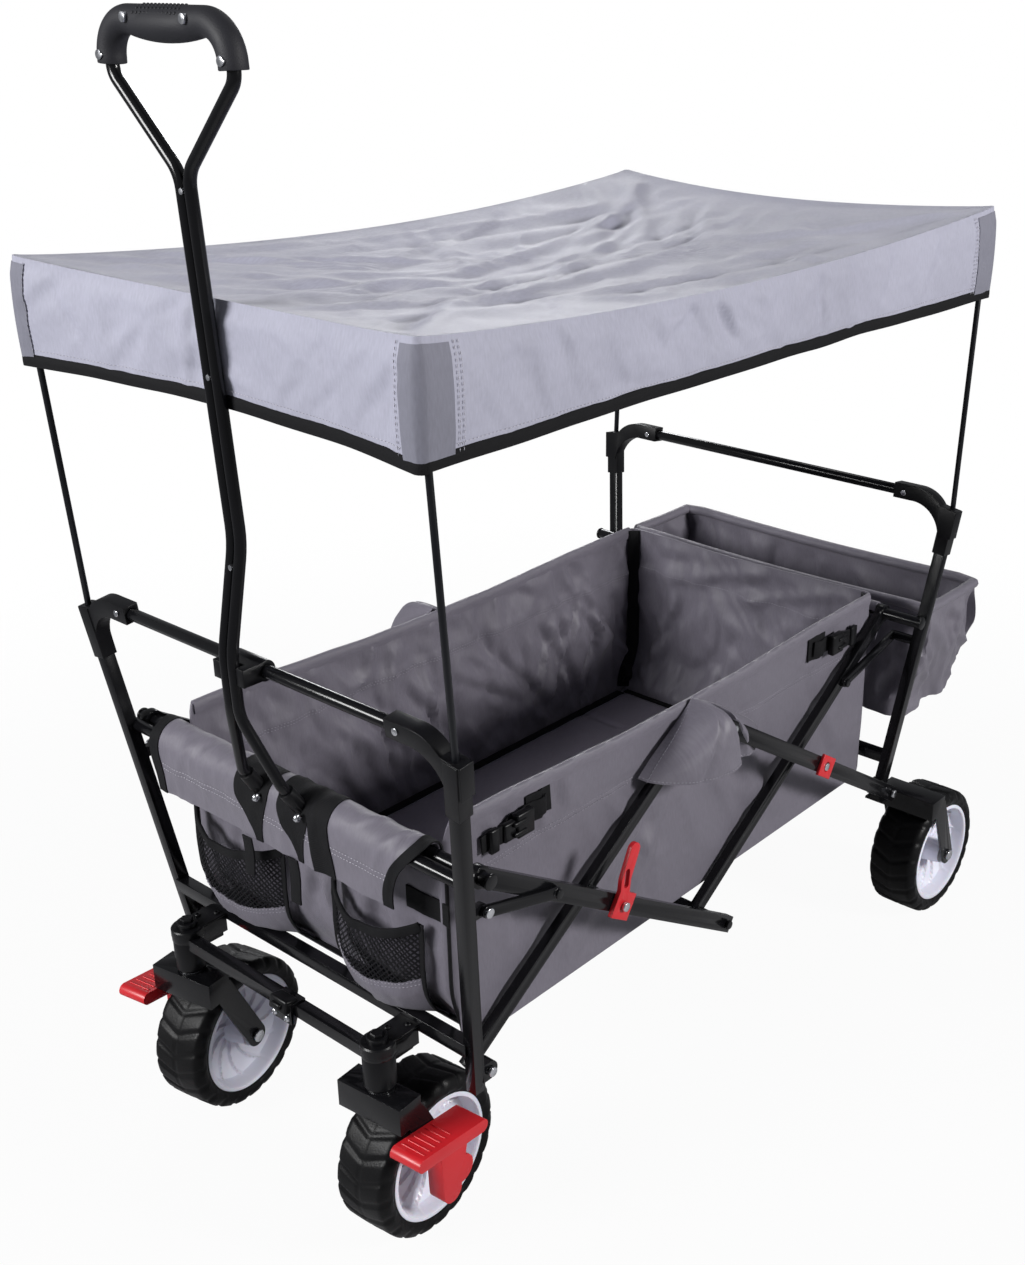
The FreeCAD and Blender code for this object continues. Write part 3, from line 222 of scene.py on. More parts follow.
BLACK = (0.0042, 0.0042, 0.005)
MATERIALS = {
    "black_frame": hard_finish("powder_coat_black", BLACK, 0.18, 900.0, 0.00004, specular_ior_level=0.32),
    "black_plastic": hard_finish("moulded_black", BLACK, 0.34, 1400.0, 0.00005, specular_ior_level=0.24),
    "pole": hard_finish("pole_black", (0.006, 0.0065, 0.0085), 0.32, 900.0, 0.00003, specular_ior_level=0.3),
    "bolts": metal_finish("zinc_steel", (0.66, 0.67, 0.7), 0.24),
    "tyre": hard_finish(
        "tread_rubber", (0.0032, 0.0032, 0.0036), 0.42, 500.0, 0.0002, specular_ior_level=0.15
    ),
    "wheel_plastic": hard_finish(
        "wheel_pale", (0.7, 0.7, 0.79), 0.34, 700.0, 0.00004, subsurface_weight=0.12, subsurface_scale=0.01
    ),
    "red_plastic": hard_finish("red_moulded", (0.52, 0.012, 0.018), 0.36, 900.0, 0.00006),
    "grip_rubber": hard_finish("grip_soft", (0.016, 0.016, 0.02), 0.6, 800.0, 0.0002, specular_ior_level=0.3),
    "mesh_fabric": net_finish("pocket_net", (0.006, 0.006, 0.0075), 72.0),
}
# slot: name, colour, threads, thread depth, crease depth, roughness, drift, sheen and shine of each cloth
CLOTHS = {
    "grey_fabric": ("basket_cloth", (0.142, 0.132, 0.162), 420.0, 0.00014, 0.001, 0.44, 0.12, 0.1),
    # The floor cloth is the wall cloth made about a third lighter: painted light that makes up for the shade over the
    # basket floor.
    "floor_fabric": ("floor_cloth", (0.19, 0.172, 0.215), 420.0, 0.00014, 0.001, 0.44, 0.12, 0.1),
    "canopy_fabric": ("canopy_cloth", (0.35, 0.35, 0.43), 460.0, 0.00014, 0.0016, 0.58, 0.1, 0.15),
    "corner_fabric": ("canopy_corner_cloth", (0.175, 0.175, 0.218), 460.0, 0.0002, 0.0016, 0.62, 0.1, 0.15),
    "webbing": ("black_webbing", (0.0045, 0.0045, 0.0055), 260.0, 0.0004, 0.0, 0.7, 0.3, 0.02, 0.16),
    "binding": ("edge_binding", (0.004, 0.004, 0.005), 420.0, 0.0002, 0.0, 0.72, 0.25, 0.02, 0.16),
    "thread_pale": ("pale_thread", (0.46, 0.45, 0.5), 900.0, 0.0001, 0.0, 0.7, 0.1),
    "thread_grey": ("grey_thread", (0.27, 0.26, 0.3), 900.0, 0.0001, 0.0, 0.7, 0.1),
}
for slot, values in CLOTHS.items():
    MATERIALS[slot] = cloth_finish(*values)


# ---------------------------------------------------------------- mesh helpers
def raw_piece(name, verts, faces, uvs=None):
    """An object in the scene from plain points, faces and UVs, all in metres."""
    mesh = bpy.data.meshes.new(name)
    mesh.from_pydata([tuple(v) for v in verts], [], faces)
    if uvs:
        layer = mesh.uv_layers.new(name="UVMap")
        for poly in mesh.polygons:
            for loop, corner in zip(poly.loop_indices, faces[poly.index]):
                layer.data[loop].uv = uvs[corner]
    piece = bpy.data.objects.new(name, mesh)
    scene.collection.objects.link(piece)
    return piece


def dress(piece, slot, body):
    piece.data.materials.clear()
    piece.data.materials.append(MATERIALS[slot])
    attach(piece, body)


def merge_points(piece, outward=False):
    """Joins points that lie together; `outward` also turns a closed piece's faces to point out."""
    work = bmesh.new()
    work.from_mesh(piece.data)
    bmesh.ops.remove_doubles(work, verts=work.verts, dist=1e-6)
    if outward:
        bmesh.ops.recalc_face_normals(work, faces=work.faces)
    work.to_mesh(piece.data)
    work.free()


def modifier(piece, kind, **values):
    """Adds a modifier and turns the result into the piece's own plain mesh."""
    made = piece.modifiers.new(kind.title(), kind)
    for key, value in values.items():
        setattr(made, key, value)
    graph = bpy.context.evaluated_depsgraph_get()
    baked = bpy.data.meshes.new_from_object(piece.evaluated_get(graph))
    old = piece.data
    piece.modifiers.clear()
    piece.data = baked
    bpy.data.meshes.remove(old)


def sharpen(piece, angle):
    """Smooth shading with sharp edges where faces meet at more than the angle."""
    piece.data.shade_smooth()
    piece.data.set_sharp_from_angle(angle=math.radians(angle))


def stand_for(piece, slot, node):
    """Hides the CAD node that the piece stands for."""
    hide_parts(node)


def bevelled(node, width):
    """A CAD node's own shape with rounded edges, standing for that node."""
    work = bmesh.new()
    work.from_mesh(frame["nodes"][node].data)
    bmesh.ops.remove_doubles(work, verts=work.verts, dist=2e-6)
    bmesh.ops.dissolve_limit(
        work, angle_limit=math.radians(1.0), use_dissolve_boundaries=False, verts=work.verts, edges=work.edges
    )
    piece = raw_piece(node + "_finish", [], [])
    work.to_mesh(piece.data)
    work.free()
    modifier(
        piece, "BEVEL", width=width * MM, segments=3 if width > 1.5 else 2, limit_method="ANGLE",
        angle_limit=math.radians(28.0), harden_normals=False, use_clamp_overlap=True,
    )
    sharpen(piece, 40)
    dress(piece, SLOT_OF[node], BODY_OF[node])
    stand_for(piece, SLOT_OF[node], node)


def grid_faces(columns, rows, order=(0, 1, 3, 2)):
    """Quads of a grid of cells; order runs round a cell's corners: near left, near right, far left, far right."""
    faces = []
    for j in range(rows):
        for i in range(columns):
            a = j * (columns + 1) + i
            corners = (a, a + 1, a + columns + 1, a + columns + 2)
            faces.append(tuple(corners[k] for k in order))
    return faces


def ring_faces(rings, ring, closed=False):
    """Quads between rings of points; a run that doesn't close on itself gets a cap at each end."""
    count = len(ring)
    faces = []
    for j in range(rings if closed else rings - 1):
        near, far = j * count, (j + 1) % rings * count
        for k in range(count):
            a, b = ring[k], ring[(k + 1) % count]
            faces.append((near + a, near + b, far + b, far + a))
    if not closed:
        faces.append(tuple(reversed(ring)))
        faces.append(tuple((rings - 1) * count + k for k in ring))
    return faces


def in_metres(uvs):
    return [(u * MM, v * MM) for u, v in uvs]


def solid(name, points, faces, slot, body, sharp=50, uvs=None, edge=0.0, segments=2):
    """A closed piece from points and UVs in millimetres; `edge` rounds its edges."""
    piece = raw_piece(name, [at(*p) for p in points], faces, in_metres(uvs) if uvs else None)
    merge_points(piece, outward=True)
    if edge:
        modifier(piece, "BEVEL", width=edge * MM, segments=segments, limit_method="ANGLE")
    sharpen(piece, sharp)
    dress(piece, slot, body)
    return piece


def smooth_step(low, high, value):
    t = max(0.0, min(1.0, (value - low) / (high - low)))
    return t * t * (3 - 2 * t)


# ---------------------------------------------------------------- wheels
TYRE_WIDTH = 2 * half_span("rear_tyre_right", 0)
TREAD_BARS = 22
BAR_POINTS = 12
SHOULDER = 8.5
HUB_BOSS = 15.0
HUB_BORE = 5.0
HUB_RIBS = 12
WHEEL_POINTS = TREAD_BARS * BAR_POINTS


def wheel_part(name, node, joint, slot, sharp, rings, section):
    """A part turned about its joint's axle; section(i, j) is the distance along the axle and the radius."""
    axle = Vector(JOINTS[joint]["axis"]).normalized()
    turn = Vector((1, 0, 0)).rotation_difference(axle).to_matrix().to_4x4()
    place = Matrix.Translation(Vector(JOINTS[joint]["pos_m"])) @ turn
    verts = []
    for j in range(rings):
        for i in range(WHEEL_POINTS):
            x, r = section(i, j)
            a = 2 * math.pi * i / WHEEL_POINTS
            verts.append(place @ Vector((x * MM, r * math.cos(a) * MM, r * math.sin(a) * MM)))
    piece = raw_piece(name, verts, ring_faces(rings, range(WHEEL_POINTS), closed=True))
    merge_points(piece, outward=True)
    sharpen(piece, sharp)
    dress(piece, slot, BODY_OF[node])
    stand_for(piece, slot, node)


def tyre_piece(name, node, joint):
    """A tyre with V-shaped tread bars meeting at its middle and deep side notches."""
    radius = half_span(node, 2)
    inner = half_span(node.replace("tyre", "hub"), 2)
    half = TYRE_WIDTH / 2
    wall_steps, tread_steps = 8, 26

    def wall(share, sign):
        out = half - 2.0 + 2.0 * smooth_step(0, 0.7, share)
        return sign * out, inner + share * (radius - SHOULDER - inner)

    def tread(s):
        drop = SHOULDER * max(0.0, (abs(s) - 0.74) / 0.26) ** 2.3
        return half * s, radius - 1.0 * s * s - drop

    profile = [wall(step / wall_steps, -1) for step in range(wall_steps)]
    profile += [tread(-1 + 2 * step / tread_steps) for step in range(tread_steps + 1)]
    profile += [wall(1 - (step + 1) / wall_steps, 1) for step in range(wall_steps)]

    def section(i, j):
        x, r = profile[j]
        s = abs(x / half)
        phase = (i / BAR_POINTS + 0.5 * s * 1.15) % 1.0
        groove = 1 - smooth_step(0.0, 0.1, abs(phase - 0.5) - 0.07)
        centre_line = 1 - smooth_step(0.01, 0.05, s)
        depth = max(1.6 * groove, 0.9 * centre_line)
        if s > 0.9:
            depth += 0.9 * (1 - smooth_step(0.0, 0.12, abs(phase - 0.5) - 0.16))
        return x, r - depth * smooth_step(radius - 19, radius - 9, r)

    wheel_part(name, node, joint, "tyre", 50, len(profile), section)


def hub_piece(name, node, joint, flip):
    """A pale dished wheel centre with a rolled lip and swirling ribs on both faces."""
    rim = half_span(node, 2)
    half = TYRE_WIDTH / 2 - 1.5

    def face_height(r, a):
        """How far the dished face stands out from the wheel's middle plane."""
        lip = smooth_step(rim - 9, rim - 4.5, r)
        dish = 6.0 + 12.0 * (r / rim) ** 2
        cup = dish * (1 - lip) + half * lip
        hubcap = smooth_step(HUB_BOSS + 3, HUB_BOSS - 1, r)
        cup = cup * (1 - hubcap) + (half + 0.8) * hubcap
        swirl = a * HUB_RIBS / (2 * math.pi) + 1.55 * (r / rim) ** 1.4
        near = abs((swirl % 1.0) - 0.5)
        rib = (1 - smooth_step(0.03, 0.075, near)) * smooth_step(HUB_BOSS, HUB_BOSS + 6, r) * (1 - lip)
        return cup + rib * 4.2 * (1 - 0.35 * r / rim)

    radii = [HUB_BORE, HUB_BORE + 0.8, 9.0]
    radii += [HUB_BOSS + step for step in (-1, 0, 1.5, 3, 5)]
    radii += [HUB_BOSS + 5 + (rim - 14 - HUB_BOSS) * k / 16 for k in range(1, 17)]
    radii += [rim - step for step in (8, 7, 6, 5, 4.4, 2.2, 0.6, 0)]
    rings = [(r, 1) for r in radii] + [(r, -1) for r in reversed(radii)]

    def section(i, j):
        r, way = rings[j]
        height = face_height(r, 2 * math.pi * i / WHEEL_POINTS * way * flip)
        if r >= rim - 0.7:
            height = half - (0.9 if r == rim else 0.25)
        if r <= HUB_BORE + 0.1:
            height = half + 0.2
        return way * height, r

    wheel_part(name, node, joint, "wheel_plastic", 38, len(rings), section)


for side, flip in (("left", -1), ("right", 1)):
    for end in ("front", "rear"):
        tyre_piece(f"{end}_tread_{side}", f"{end}_tyre_{side}", f"{end}_spin_{side}")
        hub_piece(f"{end}_wheel_centre_{side}", f"{end}_hub_{side}", f"{end}_spin_{side}", flip)

# ---------------------------------------------------------------- rigid pieces that keep the CAD's own shape
EDGE = {
    "front_post": 1.1, "rear_post": 1.1, "bar_a": 1.1, "bar_b": 1.1, "bar_c": 1.1, "bar_d": 1.1,
    "front_connectors": 2.2, "rear_connectors": 2.2, "front_lower_tube": 1.2, "rear_lower_tube": 1.2,
    "caster_beam": 1.2, "caster_fork": 1.4, "rear_forks": 1.2, "caster_pins": 0.8, "brake_pedal": 2.4,
    "handle_yokes": 1.3, "handle_clip": 1.3, "handle_grip": 0.8, "handle_bar": 0.5, "handle_tubes": 0.4,
    "handle_rivets": 0.5, "front_rim_tube": 0.8, "rear_rim_tube": 0.8, "front_push_bar": 0.4,
    "rear_push_bar": 0.4, "front_struts": 0.8, "rear_struts": 0.8, "latch": 1.0, "rear_clamps": 1.2,
    "front_canopy_poles": 0.5, "rear_canopy_poles": 0.5, "middle_tube": 0.8, "pins_a": 0.7, "pins_c": 0.7,
    "pins_d": 0.7, "front_frame_pins": 0.7, "rear_frame_pins": 0.7,
}
for node in sorted(frame["nodes"]):
    stem = node.replace("_left", "").replace("_right", "")
    if stem in EDGE:
        bevelled(node, EDGE[stem])

# ---------------------------------------------------------------- soft goods: helpers
FLANKS = ("right", "left")
INWARD = (2, 3, 1, 0)
ACROSS = (0, 2, 3, 1)


def cloth(name, verts, faces, uvs, thickness, slot, body, seam_angle=45):
    """A sheet of even thickness from one surface in millimetres; its faces look outward."""
    piece = raw_piece(name, [at(*v) for v in verts], faces, in_metres(uvs))
    merge_points(piece)
    modifier(piece, "SOLIDIFY", thickness=thickness * MM, offset=-1.0, use_rim=True, use_even_offset=False)
    sharpen(piece, seam_angle)
    dress(piece, slot, body)
    return piece


def cloth_grid(name, columns, rows, point, thickness, slot, body, order=(0, 1, 3, 2), seam_angle=45):
    """A cloth and its surface's points; point(i, j) gives a place and its UV in millimetres."""
    verts, uvs = zip(*(point(i, j) for j in range(rows + 1) for i in range(columns + 1)))
    return cloth(name, verts, grid_faces(columns, rows, order), uvs, thickness, slot, body, seam_angle), verts


def fold_basket(piece):
    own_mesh(piece)


def fold_canopy(piece):
    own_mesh(piece)


def wrinkle(u, v, seed, size, lean, sharp=2.0):
    """Long soft ridges leaning across a panel, from -1 to 1; u and v in millimetres."""
    a = (u + lean * v) / size
    b = (v - lean * u) / (size * 2.6)
    warp = noise.noise(Vector((a * 0.7, b * 0.9, seed + 7.3)))
    ridge = 1 - abs(noise.noise(Vector((a * 1.25 + warp * 0.8, b * 1.2, seed)))) * 2.0
    fine = noise.noise(Vector((a * 3.1, b * 3.4, seed + 3.1)))
    return math.copysign(abs(ridge) ** sharp, ridge) * 0.8 + 0.3 * fine


def crumple(u, v, seed, size, lean=0.35):
    """Sharp creases between shallow hollows, as in stiff cloth that was folded: 0.3 on a crease, less elsewhere."""
    a, b = (u + lean * v) / size, (v - lean * u) / (2.3 * size)
    shift = noise.noise_vector(Vector((0.55 * a, 0.55 * b, seed)))
    a, b = a + 0.85 * shift.x, b + 0.85 * shift.y
    coarse = abs(noise.noise(Vector((a, b, seed + 4.7))))
    fine = abs(noise.noise(Vector((2.2 * a, 2.2 * b, seed + 9.1))))
    return 0.3 - (coarse + 0.42 * fine)


def fold_field(seed, count, u_span, v_span, lean, width, height):
    """Long creases scattered over a panel: (start, end, half width, height) in millimetres."""
    chance = random.Random(seed)
    found = []
    for k in range(count):
        u = u_span[0] + (u_span[1] - u_span[0]) * (k + chance.uniform(0.1, 0.9)) / count
        top = v_span[1] - chance.uniform(0.0, 0.35) * (v_span[1] - v_span[0])
        low = v_span[0] + chance.uniform(0.0, 0.3) * (v_span[1] - v_span[0])
        shift = chance.uniform(lean[0], lean[1])
        rise = chance.uniform(0.45, 1.0) * height * (1 if chance.random() < 0.72 else -1)
        found.append((Vector((u, top)), Vector((u + shift, low)), chance.uniform(0.6, 1.25) * width, rise))
    return found


def creases(*rows):
    """Single long creases, each given as u and v of its start and end, half width and height."""
    return [(Vector(row[:2]), Vector(row[2:4]), *row[4:]) for row in rows]


def fold_height(folds, u, v):
    total = 0.0
    place = Vector((u, v))
    for start, end, width, rise in folds:
        run = end - start
        length = run.length
        along = (place - start).dot(run) / (length * length)
        if not -0.12 < along < 1.12:
            continue
        across = (run.x * (place.y - start.y) - run.y * (place.x - start.x)) / length
        if abs(across) > 4.5 * width:
            continue
        taper = math.sin(math.pi * min(1.0, max(0.0, (along + 0.12) / 1.24))) ** 0.7
        ridge = math.exp(-((across / width) ** 2))
        hollow = 0.5 * math.exp(-(((across - 2.0 * width) / (1.4 * width)) ** 2))
        total += rise * taper * (ridge - hollow)
    return total


def loop_stations(half_x, half_y, radius, side_steps, end_steps, corner_steps):
    """Points round a rectangle with rounded corners: (x, y, nx, ny, side name, share along it, length so far)."""
    found = []
    run = [0.0]

    def add(x, y, nx, ny, side, share):
        if found:
            run[0] += math.hypot(x - found[-1][0], y - found[-1][1])
        found.append((x, y, nx, ny, side, share, run[0]))

    def straight(x0, y0, x1, y1, nx, ny, side, steps):
        for k in range(steps):
            share = k / steps
            add(x0 + (x1 - x0) * share, y0 + (y1 - y0) * share, nx, ny, side, share)

    def corner(cx, cy, start, side):
        for k in range(corner_steps):
            share = k / corner_steps
            a = start + math.pi / 2 * share
            add(cx + radius * math.cos(a), cy + radius * math.sin(a), math.cos(a), math.sin(a), side, share)

    ix = half_x - radius
    iy = half_y - radius
    straight(half_x, -iy, half_x, iy, 1, 0, "right", side_steps)
    corner(ix, iy, 0, "rear_right")
    straight(ix, half_y, -ix, half_y, 0, 1, "rear", end_steps)
    corner(-ix, iy, math.pi / 2, "rear_left")
    straight(-half_x, iy, -half_x, -iy, -1, 0, "left", side_steps)
    corner(-ix, -iy, math.pi, "front_left")
    straight(-ix, -half_y, ix, -half_y, 0, -1, "front", end_steps)
    corner(ix, -iy, 1.5 * math.pi, "front_right")
    return found


def loop_surface(stations, rows, point, order=(0, 1, 3, 2)):
    """Grid round a loop; the seam is cut so that the UV runs on without a jump."""
    closing = stations[0][:6] + (stations[-1][6] + 6.0,)
    verts, uvs = [], []
    for j in range(rows):
        for station in (*stations, closing):
            place, v = point(station, j)
            verts.append(place)
            uvs.append((station[6], v))
    return verts, grid_faces(len(stations), rows - 1, order), uvs


def walk(points):
    """Each point of a path with the path's direction there and the length so far."""
    path = [Vector(p) for p in points]
    run = 0.0
    for index, place in enumerate(path):
        if index:
            run += (place - path[index - 1]).length
        along = (path[min(index + 1, len(path) - 1)] - path[max(index - 1, 0)]).normalized()
        yield place, along, run


def ribbon(name, points, width_dir, width, thickness, slot, body, wave=0.0):
    """A flat strap along points in millimetres, its width along width_dir."""
    wide = Vector(width_dir).normalized()
    verts, uvs = [], []
    for place, along, run in walk(points):
        flat = (wide - along * wide.dot(along)).normalized()
        up = along.cross(flat)
        lift = wave * math.sin(run * 0.11)
        for s in (-1, 1):
            for h in (-1, 1):
                verts.append(place + flat * (s * width / 2) + up * (h * thickness / 2 + lift))
                uvs.append((s * width / 2 + h * thickness / 2, run))
    edge = min(thickness, width) * 0.3
    return solid(name, verts, ring_faces(len(points), (0, 1, 3, 2)), slot, body, 50, uvs, edge)


def smooth_run(points, steps):
    """A smooth run through the points (Catmull-Rom), as a list of tuples."""
    ps = [Vector(p) for p in points]
    ps = [ps[0] * 2 - ps[1]] + ps + [ps[-1] * 2 - ps[-2]]
    out = []
    for a, b, c, d in zip(ps, ps[1:], ps[2:], ps[3:]):
        for s in range(steps):
            t = s / steps
            bend = (2 * a - 5 * b + 4 * c - d) * t * t + (3 * b - a - 3 * c + d) * t ** 3
            out.append(0.5 * ((2 * b) + (c - a) * t + bend))
    out.append(ps[-2])
    return [tuple(p) for p in out]


def on_run(run, share):
    """The place at a share of a flat run's steps, and the step it lies on."""
    place = share * (len(run) - 1)
    k = min(int(place), len(run) - 2)
    t = place - k
    (a0, b0), (a1, b1) = run[k], run[k + 1]
    return a0 + (a1 - a0) * t, b0 + (b1 - b0) * t, Vector((a1 - a0, b1 - b0))


def tube(name, points, radius, slot, body):
    """A round cord or piping through points in millimetres, closed at both ends."""
    around = 8
    verts, uvs = [], []
    side = (Vector(points[1]) - Vector(points[0])).normalized().orthogonal().normalized()
    for place, along, run in walk(points):
        side = (side - along * side.dot(along)).normalized()
        other = along.cross(side)
        for k in range(around):
            a = 2 * math.pi * k / around
            verts.append(place + side * (radius * math.cos(a)) + other * (radius * math.sin(a)))
            uvs.append((a * radius, run))
    return solid(name, verts, ring_faces(len(points), range(around)), slot, body, 50, uvs)


def soft_box(name, low, high, radius, body, turn=0):
    """A moulded block with rounded edges between two corners in millimetres, turned about X if asked."""
    verts = [(x, y, z) for x in (low[0], high[0]) for y in (low[1], high[1]) for z in (low[2], high[2])]
    if turn:
        centre = Vector([(a + b) / 2 for a, b in zip(low, high)])
        rotation = Matrix.Rotation(math.radians(turn), 3, "X")
        verts = [tuple(centre + rotation @ (Vector(v) - centre)) for v in verts]
    faces = [(0, 1, 3, 2), (4, 6, 7, 5), (0, 4, 5, 1), (2, 3, 7, 6), (0, 2, 6, 4), (1, 5, 7, 3)]
    return solid(name, verts, faces, "black_plastic", body, 40, edge=radius, segments=3)


# ---------------------------------------------------------------- stitches: one node tree lays them along seams
def stitch_tree():
    tree = bpy.data.node_groups.new("stitch_line", "GeometryNodeTree")
    face = tree.interface
    face.new_socket("Seams", in_out="INPUT", socket_type="NodeSocketGeometry")
    for label, value in (("Pitch", 0.004), ("Length", 0.003), ("Thickness", 0.0007)):
        face.new_socket(label, in_out="INPUT", socket_type="NodeSocketFloat").default_value = value
    face.new_socket("Thread", in_out="INPUT", socket_type="NodeSocketMaterial")
    face.new_socket("Stitches", in_out="OUTPUT", socket_type="NodeSocketGeometry")
    build(tree, {
        "given": ("NodeGroupInput", {}),
        "result": ("NodeGroupOutput", {}),
        "spaced": ("GeometryNodeResampleCurve", {"mode": "LENGTH"}),
        "bead": ("GeometryNodeMeshIcoSphere", {"Subdivisions": 1, "Radius": 0.5}),
        "tangent": ("GeometryNodeInputTangent", {}),
        "align": ("FunctionNodeAlignRotationToVector", {"axis": "Z"}),
        "shape": ("ShaderNodeCombineXYZ", {}),
        "place": ("GeometryNodeInstanceOnPoints", {}),
        "real": ("GeometryNodeRealizeInstances", {}),
        "paint": ("GeometryNodeSetMaterial", {}),
    }, (
        ("given", "Seams", "spaced", "Curve"), ("given", "Pitch", "spaced", "Length"),
        ("spaced", "Curve", "place", "Points"), ("bead", "Mesh", "place", "Instance"),
        ("tangent", "Tangent", "align", "Vector"), ("align", "Rotation", "place", "Rotation"),
        ("given", "Thickness", "shape", "X"), ("given", "Thickness", "shape", "Y"),
        ("given", "Length", "shape", "Z"), ("shape", "Vector", "place", "Scale"),
        ("place", "Instances", "real", "Geometry"), ("real", "Geometry", "paint", "Geometry"),
        ("given", "Thread", "paint", "Material"), ("paint", "Geometry", "result", "Stitches"),
    ))
    return tree


STITCHES = stitch_tree()


def stitch(name, seams, thread, body, pitch=4.2, length=3.0, thickness=0.75):
    """Stitches of one thread along all the seams (lists of points in millimetres) of one body."""
    curve = bpy.data.curves.new(name, "CURVE")
    curve.dimensions = "3D"
    for seam in seams:
        spline = curve.splines.new("POLY")
        spline.points.add(len(seam) - 1)
        for point, place in zip(spline.points, seam):
            point.co = (*at(*place), 1.0)
    path = bpy.data.objects.new(name, curve)
    scene.collection.objects.link(path)
    laid = path.modifiers.new("stitches", "NODES")
    laid.node_group = STITCHES
    values = {"Pitch": pitch * MM, "Length": length * MM, "Thickness": thickness * MM, "Thread": MATERIALS[thread]}
    for item in STITCHES.interface.items_tree:
        if item.item_type == "SOCKET" and item.in_out == "INPUT" and item.name in values:
            laid[item.identifier] = values[item.name]
    graph = bpy.context.evaluated_depsgraph_get()
    mesh = bpy.data.meshes.new_from_object(path.evaluated_get(graph))
    bpy.data.objects.remove(path)
    piece = bpy.data.objects.new(name, mesh)
    scene.collection.objects.link(piece)
    mesh.shade_smooth()
    dress(piece, thread, body)
    return piece


# ---------------------------------------------------------------- basket
BX = 195.0
BY = 375.6
FLOOR_Z = 229.0
SIDE_FOOT = 214.0
END_FOOT = 226.0
FRONT_TOP = 440.0
CORNER_TOP = 469.0
END_TOP = 466.0
SEAM_Z = 405.0
FOOT_TUCK = 26.0
WALL_ROWS = 46
FLOOR_ROWS = 8
WALL_FOLDS = {
    "right": fold_field(11, 9, (-330, 320), (238, 396), (-70, 90), 13.0, 4.2)
    + creases((-50, 396, -190, 250, 13.0, 6.5), (52, 392, 176, 250, 14.0, 6.0))
    + creases((-20, 396, -96, 262, 10.0, 4.0), (24, 392, 92, 268, 10.0, 3.6))
    + fold_field(12, 7, (-350, -215), (404, 462), (8, 34), 6.0, 3.6)
    + fold_field(13, 5, (220, 350), (404, 462), (-30, 6), 6.5, 2.8),
    "left": fold_field(5, 19, (-345, 330), (232, 400), (24, 130), 8.5, 8.0)
    + fold_field(6, 10, (170, 356), (236, 400), (-70, 26), 6.5, 7.5)
    + fold_field(7, 6, (-330, 300), (410, 460), (40, 120), 14.0, 3.0)
    + fold_field(17, 8, (-340, 300), (228, 300), (-60, 60), 7.0, 4.5),
    "rear": fold_field(8, 11, (-185, 185), (232, 400), (-110, 70), 9.0, 7.5)
    + fold_field(9, 5, (-150, 180), (404, 455), (-160, -60), 9.0, 5.5)
    + fold_field(19, 7, (-185, 185), (228, 320), (-60, 60), 7.0, 5.0),
    "front": fold_field(10, 8, (-170, 185), (262, 380), (-50, 40), 10.0, 4.5)
    + creases((10, 392, -30, 290, 12.0, 6.0), (95, 385, 60, 300, 10.0, 5.0)),
}
# seed, size and depth of the fine creases on each wall
WALL_CREASES = {
    "right": (2.0, 95.0, 4.5), "left": (4.0, 46.0, -13.0), "rear": (6.0, 44.0, -14.0), "front": (8.0, 54.0, 7.0),
}


def rim_height(y):
    """Top edge of a side wall: high at the ends, slack between them."""
    front_part = 459.5 + 9.5 * smooth_step(60, 340, -y)
    rear_part = 459.5 + 7.5 * smooth_step(40, 320, y)
    return max(front_part, rear_part) + 0.9 * noise.noise(Vector((y * 0.02, 3.3, 0.0)))


def tuck_at(z):
    """How far the foot of an end wall is drawn in at a height."""
    return FOOT_TUCK * smooth_step(300, END_FOOT, z) ** 1.5


def wall_top(x, y, side, share):
    if side in FLANKS:
        return rim_height(y)
    if side.startswith("rear"):
        return 467.0 - 3.0 * smooth_step(190, 20, abs(x)) + 0.8 * noise.noise(Vector((x * 0.03, 9.1, 0.0)))
    if side == "front":
        return FRONT_TOP
    turn = share if side == "front_left" else 1 - share
    return CORNER_TOP + (FRONT_TOP - CORNER_TOP) * smooth_step(0.1, 1.0, turn)


def wall_swell(side, along, z):
    """How far a wall stands out of its plane, along its outward normal."""
    if side not in WALL_FOLDS:
        return 0.0
    flank = side in FLANKS
    top = rim_height(along) if flank else END_TOP
    share = (top - z) / (top - (SIDE_FOOT if flank else END_FOOT))
    edge = smooth_step(0.0, 0.07, share) * smooth_step(1.0, 0.92, share)
    seed, size, depth = WALL_CREASES[side]
    total = fold_height(WALL_FOLDS[side], along, z) + depth * crumple(along, z, seed, size)
    if flank:
        total -= 3.4 * math.sin(math.pi * share) * smooth_step(370, 250, abs(along)) + 0.4
        total -= 1.2 * math.exp(-(((z - SEAM_Z) / 3.4) ** 2))
        return max(-12.0, min(2.6, total)) * edge
    total -= 1.4 * math.exp(-(((z - SEAM_Z - 6) / 3.6) ** 2))
    return max(-12.0, min(2.4, total - 1.4)) * edge


def basket_point(station, j):
    x, y, nx, ny, side, share, _ = station
    flank = side in FLANKS
    top = wall_top(x, y, side, share)
    low = SIDE_FOOT if flank else END_FOOT
    if j < WALL_ROWS:
        z = top + (low - top) * (j / (WALL_ROWS - 1))
        tuck = 0.0 if flank else tuck_at(z)
        if "_" in side:
            tuck *= share if side in ("front_left", "rear_right") else 1 - share
        amount = wall_swell(side, y if flank else x, z)
        return (x + nx * amount, y - math.copysign(tuck, y) + ny * amount, z), z
    k = (j - WALL_ROWS + 1) / FLOOR_ROWS
    z = low + (224.0 - low) * smooth_step(0, 0.25, k)
    py = y - math.copysign(0.0 if flank else FOOT_TUCK, y)
    return (x * (1 - k), py * (1 - k), z), low - 200.0 * k


basket_surface = loop_surface(
    loop_stations(BX, BY, 10.0, 170, 92, 5), WALL_ROWS + FLOOR_ROWS, basket_point, INWARD
)
walls = cloth("basket_walls", *basket_surface, 2.0, "grey_fabric", "basket_body")
stand_for(walls, "grey_fabric", "basket")
fold_basket(walls)

